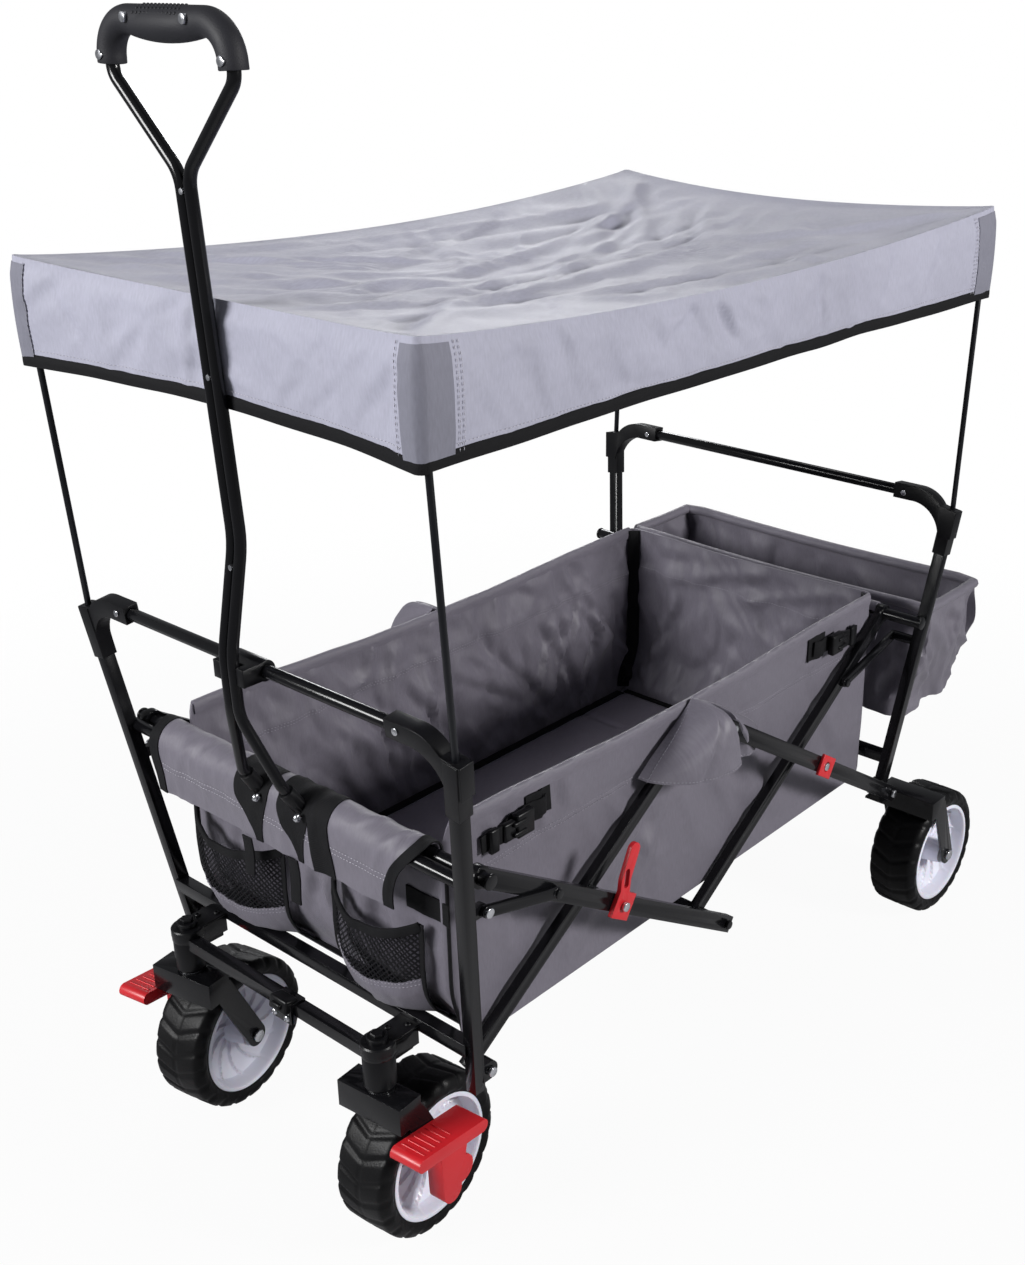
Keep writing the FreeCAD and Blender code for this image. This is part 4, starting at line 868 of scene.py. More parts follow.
MAT_X, MAT_Y, MAT_SEAM_Y = BX - 13.0, BY - 33.0, 243.0
MAT_COLUMNS, MAT_ROWS = 60, 150


def mat_point(i, j):
    """The cloth over the floor boards: two panels with a seam across, edges turned down."""
    x = -MAT_X + 2 * MAT_X * i / MAT_COLUMNS
    y = -MAT_Y + 2 * MAT_Y * j / MAT_ROWS
    edge = smooth_step(0, 14, MAT_X - abs(x)) * smooth_step(0, 14, MAT_Y - abs(y))
    dent = 1 - smooth_step(0, 7, abs(y - MAT_SEAM_Y))
    z = 227.5 + 5.4 * edge - 2.6 * dent + 1.8 * edge * wrinkle(x, y, 31.0, 120.0, 0.8)
    return (x, y, z), (x, y)


mat, _ = cloth_grid("floor_cover", MAT_COLUMNS, MAT_ROWS, mat_point, 2.5, "floor_fabric", "basket_body")
stand_for(mat, "floor_fabric", "floor_boards")
fold_basket(mat)

# rolled hem along each side wall's top edge
HEM_SECTION = (
    (2.4, -13), (3.2, -7), (3.0, -1.5), (1.2, 1.6), (-1.6, 1.6), (-3.6, -1.5), (-3.9, -7), (-3.3, -13), (-0.6, -13.5),
)
HEM_STEPS = 150
HEM_LENGTH = 732.0


def side_hem(side, sign):
    verts, uvs = [], []
    for j in range(HEM_STEPS + 1):
        y = -HEM_LENGTH / 2 + HEM_LENGTH * j / HEM_STEPS
        swell = 1 + 0.16 * noise.noise(Vector((y * 0.045, sign * 5.0, 0)))
        z = rim_height(y) + 0.6
        for dx, dz in HEM_SECTION:
            verts.append((sign * (BX - 0.6 + dx * swell), y, z + dz))
            uvs.append((dz + dx, y))
    faces = ring_faces(HEM_STEPS + 1, range(len(HEM_SECTION)))
    piece = solid(f"side_hem_{side}", verts, faces, "grey_fabric", "basket_body", 60, uvs)
    fold_basket(piece)
    return piece


hem_pieces = [side_hem(side, sign) for side, sign in SIDES]

# ---------------------------------------------------------------- front and rear wraps over the rim tubes
RIM_Z = middle("front_rim_tube")[2] / MM
FRONT_SECTION = (
    (-378.8, -28), (-377.4, -10), (-377.6, 4), (-381.0, 13), (-388, 17), (-397, 16), (-406, 10.5), (-412.0, 1),
    (-413.4, -11), (-412.0, -26), (-409.5, -42), (-407.0, -61),
)
REAR_SECTION = (
    (377.9, -24), (377.2, -6), (378, 6), (382, 12), (388, 12), (393.5, 6), (394.5, -4), (392, -16), (387.5, -30),
    (384, -40),
)
FLAP_SECTION = ((0, 464.5), (24, 464.5), (45, 459), (55.5, 446), (58.5, 430), (57.5, 412), (55, 391))


def flat_run(section, base, steps):
    """A smooth run through pairs whose second values count from a base."""
    return [(p[0], p[1]) for p in smooth_run([(a, base + b, 0) for a, b in section], steps)]


FRONT_RUN = flat_run(FRONT_SECTION, RIM_Z, 4)
REAR_RUN = flat_run(REAR_SECTION, RIM_Z, 4)
FLAP_RUN = flat_run(FLAP_SECTION, 0, 8)


def front_wrap_point(x, share, lift=0.0):
    """A point on the front wrap: share 0 inside the basket, 1 at its lower front edge."""
    y, z, step = on_run(FRONT_RUN, share)
    along = step.normalized()
    sag = 6.0 * (0.06 + crumple(x, share * 120, 41.0, 52.0, 0.3)) * smooth_step(0.1, 0.4, share)
    slack = 1.2 * math.sin(x * 0.021 + 1.0) * smooth_step(0.7, 1.0, share)
    total = lift + max(-0.4, sag + slack)
    return (x, y + along.y * total, z - along.x * total)


def rear_wrap_point(x, share):
    y, z, _ = on_run(REAR_RUN, share)
    bump = max(-0.3, 1.2 * wrinkle(x, share * 90, 52.0, 60.0, 0.3)) * smooth_step(0.1, 0.4, share)
    return (x, y + bump, z)


def wrap_cloth(name, size, x_low, x_high, point, length, thickness, slot, body):
    """Cloth over a rim tube; its two ends and its points depend on the share of the way round."""
    columns, rows = size

    def place(i, j):
        share = j / rows
        low, high = x_low(share), x_high(share)
        x = low + (high - low) * i / columns
        return point(x, share), (x, share * length)

    return cloth_grid(name, columns, rows, place, thickness, slot, body, ACROSS)[0]


def front_left_end(share):
    return -204.0 + 3.0 * smooth_step(0.6, 1.0, share)


def front_right_end(share):
    return 192.0 - 38.0 * smooth_step(0.45, 1.0, share)


def level(x):
    return lambda share: x


front_wrap = wrap_cloth(
    "front_rim_wrap", (150, 44), front_left_end, front_right_end, front_wrap_point, 120, 2.0, "grey_fabric",
    "front_rim",
)
rear_wrap = wrap_cloth(
    "rear_rim_wrap", (150, 36), level(198.0), level(-198.0), rear_wrap_point, 120, 2.0, "grey_fabric", "rear_rim"
)


# black edge straps at the front wrap's two ends, the wide strap over it and the pointed patches behind the sockets
def on_wrap(name, x_low, x_high, low_share, lift=1.2):
    def point(x, share):
        return front_wrap_point(x, low_share + (1.0 - low_share) * share, lift)

    wrap_cloth(name, (8, 26), x_low, x_high, point, 90, 1.6, "webbing", "front_rim")


def beside_right_end(gap):
    return lambda share: front_right_end(0.1 + 0.9 * share) + gap


def patch_edge(x, half, start):
    return lambda share: x + half * (1 - 0.96 * smooth_step(start, 1.0, share))


on_wrap("wrap_edge_left", level(-206.0), level(-192.0), 0.1)
on_wrap("wrap_edge_right", beside_right_end(-11), beside_right_end(2), 0.1)
on_wrap("wrap_strap", level(47.0), level(75.0), 0.15)
on_wrap("socket_patch_left", patch_edge(-42, -22, 0.55), patch_edge(-34, 22, 0.45), 0.32, 1.0)
on_wrap("socket_patch_right", patch_edge(22, -20, 0.55), patch_edge(28, 20, 0.45), 0.32, 1.0)

# ---------------------------------------------------------------- flaps over the middle pivots
FLAP_CREASES = ((0.3, 0.11, 9.0), (-0.42, 0.08, 2.5))
FLAP_COLUMNS, FLAP_ROWS = 56, 40
FLAP_TOP = 464.5


def flap(side, sign):
    """The pouch sewn over the middle pivots: a point at the rim, two stitched edges and an open, hanging foot."""

    def place(i, j):
        v = j / FLAP_ROWS
        u = -1 + 2 * i / FLAP_COLUMNS
        out, height, _ = on_run(FLAP_RUN, v)
        spread = smooth_step(0.0, 1.0, v) * 0.25 + 0.75 * v
        arch = max(0.0, math.cos(u * math.pi / 2)) ** 0.62
        edge_z = FLAP_TOP + ((404.0 if u < 0 else 393.0) - FLAP_TOP) * v
        y = -8.0 + (u * 92.0 if u < 0 else u * 116.0) * spread
        x = BX + 4.5 + out * arch * (0.4 + 0.6 * smooth_step(0.0, 0.12, v))
        z = edge_z + (height - edge_z) * arch
        depth = smooth_step(0.06, 0.3, v) * arch
        for spot, width, pull in FLAP_CREASES:
            x -= pull * (1 - smooth_step(0.0, width, abs(u - spot * (0.4 + 0.6 * v)))) * depth
        x += 3.6 * crumple(y, z + x, 61.0 + sign, 44.0, 0.3) * depth
        return (sign * x, y, z), (y, z + x)

    order = ACROSS if sign > 0 else tuple(reversed(ACROSS))
    piece, verts = cloth_grid(
        f"pivot_flap_{side}", FLAP_COLUMNS, FLAP_ROWS, place, 1.8, "grey_fabric", "basket_body", order
    )
    fold_basket(piece)
    row = FLAP_COLUMNS + 1
    lines = (verts[1::row], verts[FLAP_COLUMNS - 1::row], verts[(FLAP_ROWS - 1) * row:FLAP_ROWS * row])
    return piece, [[(x + sign * 0.5, y, z) for x, y, z in line] for line in lines]


flap_pieces, flap_seams = [], []
for side, sign in SIDES:
    piece, seams = flap(side, sign)
    flap_pieces.append(piece)
    flap_seams += seams


# ---------------------------------------------------------------- front pockets
def basket_ribbon(name, points, width_dir, width, thickness, slot="webbing"):
    fold_basket(ribbon(name, points, width_dir, width, thickness, slot, "basket_body"))


def pocket(label, x0, x1, low, top, band_left, band_right, lean):
    """A net pocket with a cloth band at its foot, an elastic edge on top and a bound inner side."""
    columns, rows = 44, 30
    dip_power = 0.62 if lean < 0 else 0.7

    def place(i, j, extra=0.0):
        u = i / columns
        v = j / rows
        x = x0 + (x1 - x0) * u
        z_top = top - 24.0 * math.sin(math.pi * u ** dip_power) ** 0.8
        z = low + (z_top - low) * v
        arch = math.sin(math.pi * min(max(u * 0.94 + 0.03, 0), 1)) ** 0.55
        belly = 0.5 + 0.5 * math.sin(math.pi * min(1.0, v * 0.55 + 0.2))
        foot = smooth_step(0.0, 0.16, v)
        tuck = tuck_at(z)
        y = -BY - 2.6 + tuck - (25.0 + 0.75 * tuck) * arch * belly * foot - extra
        y -= 6.0 * crumple(x, z, 71.0 + lean, 34.0, 0.5) * arch
        return (x + lean * arch * 3, y, z)

    def panel(name, row_from, row_to, thickness, slot):
        def point(i, j):
            start, stop = row_from(i / columns), row_to(i / columns)
            spot = place(i, start + (stop - start) * j / rows)
            return spot, (spot[0], spot[2])

        piece, _ = cloth_grid(name, columns, rows, point, thickness, slot, "basket_body")
        fold_basket(piece)
        return piece

    def band(u):
        z = band_left + (band_right - band_left) * u - 7 * math.sin(math.pi * u)
        return rows * (z - low) / (top - low)

    def along(row, extra):
        return [place(i, row(i / columns), extra) for i in range(columns + 1)]

    foot_band = panel(f"pocket_band_{label}", level(0.0), band, 1.6, "grey_fabric")
    net = panel(f"pocket_net_{label}", band, level(float(rows)), 1.0, "mesh_fabric")
    basket_ribbon(f"pocket_elastic_{label}", along(level(rows - 0.4), 0.6), (0, 0, 1), 10.0, 3.0, "binding")
    for tag, i in (("a", 0), ("b", columns)):
        side_edge = [place(i, j, 0.4) for j in range(0, rows + 1, 2)]
        basket_ribbon(f"pocket_binding_{label}_{tag}", side_edge, (1, 0, 0), 7.0, 2.0, "binding")
    return foot_band, net, [along(lambda u: band(u) - 0.5, 0.3), along(lambda u: band(u) - 1.6, 0.3)]


left_band, left_net, left_seams = pocket("left", -180.0, -36.0, 236.0, 358.0, 288.0, 292.0, -0.5)
right_band, right_net, right_seams = pocket("right", 42.0, 166.0, 234.0, 356.0, 296.0, 296.0, 0.5)
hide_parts("front_pockets")

# ---------------------------------------------------------------- rear bag
BAG_TOP, BAG_FOOT = 437.0, 288.0
BAG_ROWS, BAG_FLOOR_ROWS = 30, 8
BAG_FOLDS = (
    fold_field(31, 20, (-900, 900), (300, 432), (-60, 60), 9.0, 9.0)
    + fold_field(32, 14, (-900, 900), (292, 380), (-70, 70), 8.0, 7.0)
)


def bag_ring(z):
    """Half width, front and back of the bag at a height."""
    t = (z - BAG_FOOT) / 146.0
    half = 226.0 + 17.0 * smooth_step(0, 0.75, t)
    front = 409.0 + 27.0 * t
    back = 541.0 + 27.0 * smooth_step(-0.1, 0.55, t) + 2.0 * t
    return half, front, back


def bag_point(station, j):
    sx, sy, nx, ny, side, share, _ = station
    s = j / (BAG_ROWS - 1)
    droop = (4.0 if side in ("rear", "front") else 1.0) * math.sin(math.pi * share)
    z = BAG_TOP - droop + (BAG_FOOT - BAG_TOP + droop) * s if j < BAG_ROWS else BAG_FOOT
    half, front, back = bag_ring(z)
    x = sx * half
    mid = (front + back) / 2
    y = mid + sy * (back - front) / 2
    if j < BAG_ROWS:
        around = x + 1.2 * y
        lean = 0.7 if side in FLANKS else 0.25
        amount = 17.0 * crumple(around, z, 83.0, 66.0, lean) + fold_height(BAG_FOLDS, around, z)
        amount = amount * smooth_step(0.02, 0.2, s) + 2.0 * math.sin(math.pi * s)
        amount = max(-11.0, min(4.5, amount - 1.0))
        return (x + nx * amount, y + ny * amount, z), z
    k = (j - BAG_ROWS + 1) / BAG_FLOOR_ROWS
    sag = -6.0 * smooth_step(0, 0.5, k) + 2.0 * noise.noise(Vector((x * 0.02, y * 0.02, 4)))
    return (x * (1 - k), mid + (y - mid) * (1 - k), z + sag), z - 100 * k


def rear_bag():
    stations = loop_stations(1.0, 1.0, 0.12, 60, 120, 6)
    verts, faces, uvs = loop_surface(stations, BAG_ROWS + BAG_FLOOR_ROWS, bag_point, INWARD)
    uvs = [(u * 240, v) for u, v in uvs]
    piece = cloth("rear_bag_shell", verts, faces, uvs, 2.2, "grey_fabric", "rear_frame")
    stand_for(piece, "grey_fabric", "rear_bag")
    return piece, verts[:len(stations)]


def rolled_rim(name, rim, radius, slot, body):
    """A rolled edge round a closed rim."""
    points = [Vector(p) for p in rim]
    around = 10
    verts, uvs = [], []
    run = 0.0
    for i, p in enumerate(points):
        after = points[(i + 1) % len(points)]
        along = (after - points[i - 1]).normalized()
        out = Vector((along.y, -along.x, 0)).normalized()
        swell = 1 + 0.2 * noise.noise(Vector((i * 0.13, 2.2, 0)))
        for k in range(around):
            a = 2 * math.pi * k / around
            rise = Vector((0, 0, radius * 0.95 * math.sin(a)))
            verts.append(p + (out * (radius * swell * math.cos(a) - radius * 0.3) + rise))
            uvs.append((a * radius, run))
        run += (after - p).length
    return solid(name, verts, ring_faces(len(points), range(around), closed=True), slot, body, 60, uvs)


bag, bag_rim = rear_bag()
bag_roll = rolled_rim("rear_bag_roll", bag_rim, 7.0, "grey_fabric", "rear_frame")
for side, sign in SIDES:
    strap_run = smooth_run(
        [(sign * 243, 440, 424), (sign * 246, 432, 428), (sign * 249, 420, 431), (sign * 249, 411, 431)], 5
    )
    ribbon(f"bag_strap_{side}", strap_run, (0, 0, 1), 13.0, 2.0, "webbing", "rear_frame")

# ---------------------------------------------------------------- canopy
CX, CY = 276.5, 457.5
HEM_Z, TOP_Z = 838.5, 942.0
SIDE_SAG, END_SAG = 23.0, 11.0
ROOF_INSET = 2.4
EDGE_ROWS = 20
ROOF_ROWS = 34
ROOF_FOLDS = (
    fold_field(21, 12, (-240, 240), (-400, 400), (-90, 90), 14.0, 5.0)
    + fold_field(22, 10, (-250, 120), (60, 430), (60, 190), 10.0, 4.6)
    + fold_field(23, 10, (-150, 250), (-430, -60), (-190, -60), 10.0, 4.6)
    + fold_field(25, 8, (-230, 230), (-300, 330), (60, 240), 8.0, 3.4)
    + creases((-268, -448, -60, -250, 13.0, 4.4), (268, -448, 90, -230, 13.0, 4.4))
    + creases((268, 448, 80, 220, 13.0, 4.2), (-268, 448, -70, 240, 13.0, 4.2))
)
SKIRT_FOLDS = (
    fold_field(24, 40, (0, 2900), (850, 938), (-44, 44), 7.0, 5.0)
    + fold_field(26, 22, (0, 2900), (880, 942), (-70, 70), 9.0, 4.0)
)


def canopy_edge(side, share):
    """Inward bow and sag of the canopy's edge at a share along one of its sides."""
    if "_" in side:
        return 0.0, 0.0
    arch = math.sin(math.pi * share)
    if side in FLANKS:
        return 11.0 * arch ** 0.9, SIDE_SAG * arch ** 0.8
    return 29.0 * arch ** 0.95, END_SAG * arch ** 0.8


def canopy_point(station, j):
    x, y, nx, ny, side, share, run = station
    bow, sag = canopy_edge(side, share)
    px, py = x - nx * bow, y - ny * bow
    if j < EDGE_ROWS:
        s = j / (EDGE_ROWS - 1)
        z = HEM_Z + (TOP_Z - sag - HEM_Z) * s
        mid_side = (math.sin(math.pi * share) if "_" not in side else 0.0) ** 0.3
        lean = 0.9 if side in ("right", "rear") else -0.9
        push = 2.0 * math.sin(math.pi * s)
        push += 7.0 * crumple(run, z * 1.3, 91.0, 66.0, lean) * smooth_step(0.02, 0.3, s) * mid_side
        push += fold_height(SKIRT_FOLDS, run, z) * mid_side
        push = max(-5.0, min(3.4, push)) * smooth_step(1.0, 0.8, s)
        out = push - ROOF_INSET * smooth_step(0.82, 1.0, s)
        return (px + nx * out, py + ny * out, z), z
    k = (j - EDGE_ROWS + 1) / ROOF_ROWS
    u = (px - nx * ROOF_INSET) / CX * (1 - k)
    v = (py - ny * ROOF_INSET) / CY * (1 - k)
    qx, qy = u * CX, v * CY
    roof = TOP_Z - SIDE_SAG * (1 - v * v) - END_SAG * (1 - u * u)
    ripple = 1.2 * wrinkle(qx, qy, 101.0, 105.0, -0.35, 1.4) + 6.0 * crumple(qx, qy, 131.0, 66.0, 0.9)
    ripple = max(-8.0, min(4.0, ripple + fold_height(ROOF_FOLDS, qx, qy) - 1.0))
    return (qx, qy, min(roof + ripple * smooth_step(0.0, 0.12, k), TOP_Z)), TOP_Z + 260 * k


canopy_stations = loop_stations(CX, CY, 7.0, 190, 110, 4)
canopy_columns = len(canopy_stations) + 1
canopy_verts, canopy_faces, canopy_uvs = loop_surface(canopy_stations, EDGE_ROWS + ROOF_ROWS, canopy_point)
first_roof = EDGE_ROWS * canopy_columns
canopy_uvs[first_roof:] = [(x, y) for x, y, _ in canopy_verts[first_roof:]]
canopy_cover = cloth(
    "canopy_cloth_cover", canopy_verts, canopy_faces, canopy_uvs, 1.6, "canopy_fabric", "chassis", 60
)
stand_for(canopy_cover, "canopy_fabric", "canopy")
fold_canopy(canopy_cover)


def skirt_place(row, i, lift):
    """A point just outside the canopy's skirt, on one row and column of its grid."""
    x, y, z = canopy_verts[row * canopy_columns + i]
    _, _, nx, ny, *_ = canopy_stations[i]
    return (x + nx * lift, y + ny * lift, z)


def hem_band():
    """Black binding folded round the canopy's lower edge."""
    section = ((1.3, -1.2), (1.5, 4), (1.3, 10.5), (0.1, 11.2), (-2.9, 10.5), (-3.1, 4), (-2.9, -1.2), (-0.8, -1.6))
    verts, uvs = [], []
    for i, (_, _, nx, ny, _, _, run) in enumerate(canopy_stations):
        x, y, z = canopy_verts[i]
        ripple = 2.4 * noise.noise(Vector((run * 0.011, 5.5, 0)))
        for out, up in section:
            verts.append((x + nx * out, y + ny * out, z + up + ripple))
            uvs.append((up + out, run))
    faces = ring_faces(len(canopy_stations), range(len(section)), closed=True)
    piece = solid("canopy_hem", verts, faces, "binding", "chassis", 60, uvs)
    fold_canopy(piece)
    return piece


canopy_hem = hem_band()


def corner_panel(label):
    """A darker piece of cloth laid over one upright corner of the canopy."""
    at_corner = [i for i, station in enumerate(canopy_stations) if station[4] == label]
    middle_run = canopy_stations[at_corner[len(at_corner) // 2]][6]
    whole = canopy_stations[-1][6] + 6.0

    def offset(i):
        return (canopy_stations[i][6] - middle_run + whole / 2) % whole

    def covered(i):
        return abs(offset(i) - whole / 2) <= 26.0 * (1.6 if canopy_stations[i][4] in FLANKS else 0.85)

    near = sorted((i for i in range(len(canopy_stations)) if covered(i)), key=offset)

    def point(i, j):
        place = skirt_place(j, near[i], 0.9)
        return place, (offset(near[i]), place[2])

    piece, _ = cloth_grid(
        f"canopy_corner_{label}", len(near) - 1, EDGE_ROWS - 2, point, 0.8, "corner_fabric", "chassis", seam_angle=60
    )
    fold_canopy(piece)
    return piece


corner_pieces = [corner_panel(label) for label in ("front_right", "rear_right", "rear_left", "front_left")]


# ---------------------------------------------------------------- basket trim: black bands along the floor's edge, straps and buckles
def wall_place(side, along, z, lift):
    """A point on a wall: lift 0 is its outer face; below -2 is its inner face."""
    swell = wall_swell(side, along, z) + lift
    if side == "right":
        return (BX + swell, along, z)
    if side == "left":
        return (-BX - swell, along, z)
    if side == "rear":
        return (along, BY - tuck_at(z) + swell, z)
    return (along, -BY + tuck_at(z) - swell, z)


def steps_between(low, high, pitch):
    count = max(2, int(abs(high - low) / pitch))
    return [low + (high - low) * k / count for k in range(count + 1)]


# black bands along the floor cloth's edge, on both sides and at the back
FLOOR_BAND_Z = FLOOR_Z + 0.6
for side, sign in SIDES:
    run = [(sign * (BX - 12.5), y, FLOOR_BAND_Z) for y in steps_between(-335, 335, 14)]
    basket_ribbon(f"floor_binding_{side}", run, (1, 0, 0), 13.0, 2.2, "binding")
run = [(x, BY - 33.0, FLOOR_BAND_Z) for x in steps_between(-180, 180, 14)]
basket_ribbon("floor_binding_rear", run, (0, 1, 0), 9.0, 2.2, "binding")
run = [(-BX + 9.0, BY - 8.5 - 22.0 * smooth_step(310, 240, z) ** 1.5, z) for z in steps_between(466, 234, 12)]
basket_ribbon("corner_strap_left", run, (1, 1, 0), 17.0, 2.0)
basket_ribbon("corner_strap_right", [(BX - 9.0, y, z) for _, y, z in run], (1, -1, 0), 17.0, 2.0)
loop_bends = ((15, 30, 272), (20, 33, 270), (24, 36, 258), (18, 35, 248), (13, 32, 246))
loop_run = smooth_run([(-BX + x, BY - y, z) for x, y, z in loop_bends], 6)
basket_ribbon("corner_loop", loop_run, (1, 1, 0), 10.0, 2.0)

BUCKLE_Y = 229.0
BUCKLE_X = BX + 4.0
STRAP_TOP, STRAP_FALL = 437, 0.075


def buckle_block(name, sign, x_span, y_span, z, half, radius):
    """A moulded part on a side wall, given by its spans out of and along the wall and its height."""
    (xa, xb), (ya, yb) = sorted(sign * x for x in x_span), sorted(y_span)
    fold_basket(soft_box(name, (xa, ya, z - half), (xb, yb, z + half), radius, "basket_body"))


def buckle(side, sign, end, way):
    """A patch, its strap and a side-release buckle, at distances d from where the patch starts."""
    stand = 4.5 if side == "left" else 0.0

    def along(d):
        return way * BUCKLE_Y + way * d

    patch = [wall_place(side, along(d), 437.5 - 0.06 * d, 1.5 + stand) for d in steps_between(0, 36, 6)]
    basket_ribbon(f"buckle_patch_{side}_{end}", patch, (0, 0, 1), 31.0, 1.8)
    strap = [
        wall_place(side, along(d), STRAP_TOP - STRAP_FALL * d, 3.6 + stand + 1.6 * math.sin(d * 0.09))
        for d in steps_between(10, 104, 5)
    ]
    basket_ribbon(f"buckle_strap_{side}_{end}", strap, (0, 0, 1), 19.0, 1.8)
    for tag, start, stop, half, depth in (
        ("socket", 38, 62, 13.0, 8.5), ("tongue", 62, 78, 10.0, 6.5), ("slider", 84, 96, 13.0, 6.0),
    ):
        z = STRAP_TOP - STRAP_FALL * (start + stop) / 2
        x_span, y_span = (BUCKLE_X - 0.5, BUCKLE_X + depth), (along(start), along(stop))
        buckle_block(f"buckle_{tag}_{side}_{end}", sign, x_span, y_span, z, half, 2.2)
    for tag, shift in (("low", -5.5), ("high", 5.5)):
        z = STRAP_TOP - STRAP_FALL * 59 + shift
        x_span, y_span = (BUCKLE_X + 5.0, BUCKLE_X + 10.0), (along(50), along(68))
        buckle_block(f"buckle_prong_{side}_{end}_{tag}", sign, x_span, y_span, z, 2.4, 1.4)


for side, sign in SIDES:
    for end, way in (("front", -1), ("rear", 1)):
        buckle(side, sign, end, way)

# piping down the front corners and along the foot of the front wall
for side, sign in SIDES:
    run = [(sign * (BX - 2.4), -BY + 2.4 + tuck_at(z) * 0.5, z) for z in steps_between(436, 228, 9)]
    fold_basket(tube(f"corner_piping_{side}", run, 1.9, "binding", "basket_body"))
run = [wall_place("front", x, 233.0, 1.6) for x in steps_between(-190, 190, 10)]
fold_basket(tube("foot_piping", run, 2.4, "binding", "basket_body"))
# black band under the wrap's right end and two straps that hang from the wrap
run = [wall_place("front", x, 372.0, 2.0) for x in steps_between(138, 197, 7)]
basket_ribbon("front_band", run, (0, 0, 1), 24.0, 2.0)
for tag, x, top, length in (("left", -58.0, 378.0, 44.0), ("middle", 14.0, 380.0, 50.0)):
    run = [(x + 0.04 * d, -BY - 34.5 + 1.6 * math.sin(d * 0.1), top - d) for d in steps_between(0, length, 5)]
    ribbon(f"front_strap_{tag}", run, (1, 0, 0), 15.0, 1.8, "webbing", "front_rim", 0.5)

# ---------------------------------------------------------------- stitched seams
OUTSIDE, INSIDE = 0.5, -2.5
wall_seams = [
    [wall_place(side, y, SEAM_Z - drop, lift) for y in steps_between(-366, 366, 4)]
    for side in FLANKS for drop in (1.5, 5.5) for lift in (OUTSIDE, INSIDE)
]
wall_seams += [
    [wall_place("rear", x, SEAM_Z + 8.5, lift) for x in steps_between(-184, 184, 4)] for lift in (INSIDE, OUTSIDE)
]
fold_basket(stitch(
    "basket_stitches", wall_seams + flap_seams + left_seams + right_seams, "thread_grey", "basket_body"
))
wrap_seams = [
    [front_wrap_point(x, share, 0.5) for x in steps_between(-188, front_right_end(share) - 12, 3)]
    for share in (0.80, 0.835)
]
stitch("wrap_stitches", wrap_seams, "thread_pale", "front_rim")


def canopy_seams():
    """Double rows beside each corner of the skirt and one row above the hem."""
    seams = []
    for side in ("right", "rear", "left", "front"):
        columns = [i for i, station in enumerate(canopy_stations) if station[4] == side]
        seams.append([skirt_place(3, i, 0.35) for i in columns])
        for gap in ((32.5, 37.0) if side in FLANKS else (13.0, 17.0)):
            for end in (columns[0], columns[-1]):
                start = canopy_stations[end][6]
                near = min(columns, key=lambda i: abs(abs(canopy_stations[i][6] - start) - gap))
                seams.append([skirt_place(j, near, 1.3) for j in range(2, EDGE_ROWS - 1)])
    return seams


fold_canopy(stitch("canopy_stitches", canopy_seams(), "thread_pale", "chassis", 4.6, 3.4, 0.8))

# ---------------------------------------------------------------- a loop over the flaps that does nothing
for piece in flap_pieces:
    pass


# ---------------------------------------------------------------- small hardware
def turned(name, profile, centre, axis, slot, body, sides=28):
    """A closed turned piece from (radius, distance along the axis) pairs, in millimetres."""
    spin = Vector((0, 0, 1)).rotation_difference(Vector(axis).normalized()).to_matrix()
    verts = []
    for r, h in profile:
        for k in range(sides):
            a = 2 * math.pi * k / sides
            verts.append(Vector(centre) + spin @ Vector((r * math.cos(a), r * math.sin(a), h)))
    solid(name, verts, ring_faces(len(profile), range(sides)), slot, body, 35)


def bolt(name, centre, axis, radius, body, height=3.0, slot="bolts"):
    """A low domed head with a socket in it."""
    r, h = radius, height
    profile = [
        (r * 0.96, -0.6), (r, 0.2), (r, h * 0.35), (r * 0.9, h * 0.72), (r * 0.68, h * 0.94), (r * 0.46, h),
        (r * 0.42, h - 0.1), (r * 0.38, h * 0.45),
    ]
    turned(name, profile, centre, axis, slot, body)


STRUT_END_Y, STRUT_END_Z = 289.5, 379.9
HOUSING_X, HOUSING_Y, HOUSING_TOP = 150.0, -432.0, 240.0
# cap, cover plate and hexagon on each caster housing: sides, then radii and heights from the housing's top
HOUSING_TURNED = {
    "cap": (40, ((12.5, -9.0), (16.8, -8.0), (17.4, -5.0), (17.4, 2.2), (16.2, 3.6), (11.5, 4.0), (11.0, 4.0))),
    "head": (36, ((10.9, 3.0), (10.9, 8.6), (9.9, 9.4), (8.2, 9.5))),
    "hex": (6, ((7.2, 8.6), (7.2, 12.2), (6.3, 13.0))),
    "sleeve": (40, ((14.0, -46.0), (16.4, -45.0), (16.4, -11.0), (15.4, -9.5), (13.6, -9.4))),
}
# half width, back, front, foot, head and rounding of each block behind a housing
HOUSING_BLOCKS = {"plate": (14.0, 6.0, 44.0, 1.6, 4.2, 1.1), "rib": (3.0, 15.0, 42.0, -30.0, 1.6, 1.0)}
for side, sign in SIDES:
    for end, x, way in (("front", 255.4, -1), ("rear", 215.0, 1)):
        place = (sign * x, way * STRUT_END_Y, STRUT_END_Z)
        bolt(f"strut_bolt_{end}_{side}", place, (sign, 0, 0), 5.0, f"{end}_struts")
    cx, cy, top = sign * HOUSING_X, HOUSING_Y, HOUSING_TOP
    for part, (sides, profile) in HOUSING_TURNED.items():
        name = f"housing_{part}_{side}"
        turned(name, profile, (cx, cy, top), (0, 0, 1), "black_plastic", "front_frame", sides)
    for part, (half, y0, y1, z0, z1, radius) in HOUSING_BLOCKS.items():
        low, high = (cx - half, cy + y0, top + z0), (cx + half, cy + y1, top + z1)
        soft_box(f"housing_{part}_{side}", low, high, radius, "front_frame")
    for step, (x, y) in enumerate(((-6.0, 18.0), (6.0, 34.0))):
        place = (cx + x, cy + y, top + 4.0)
        bolt(f"plate_bolt_{side}_{step}", place, (0, 0, 1), 3.4, "front_frame", 2.4, "black_plastic")


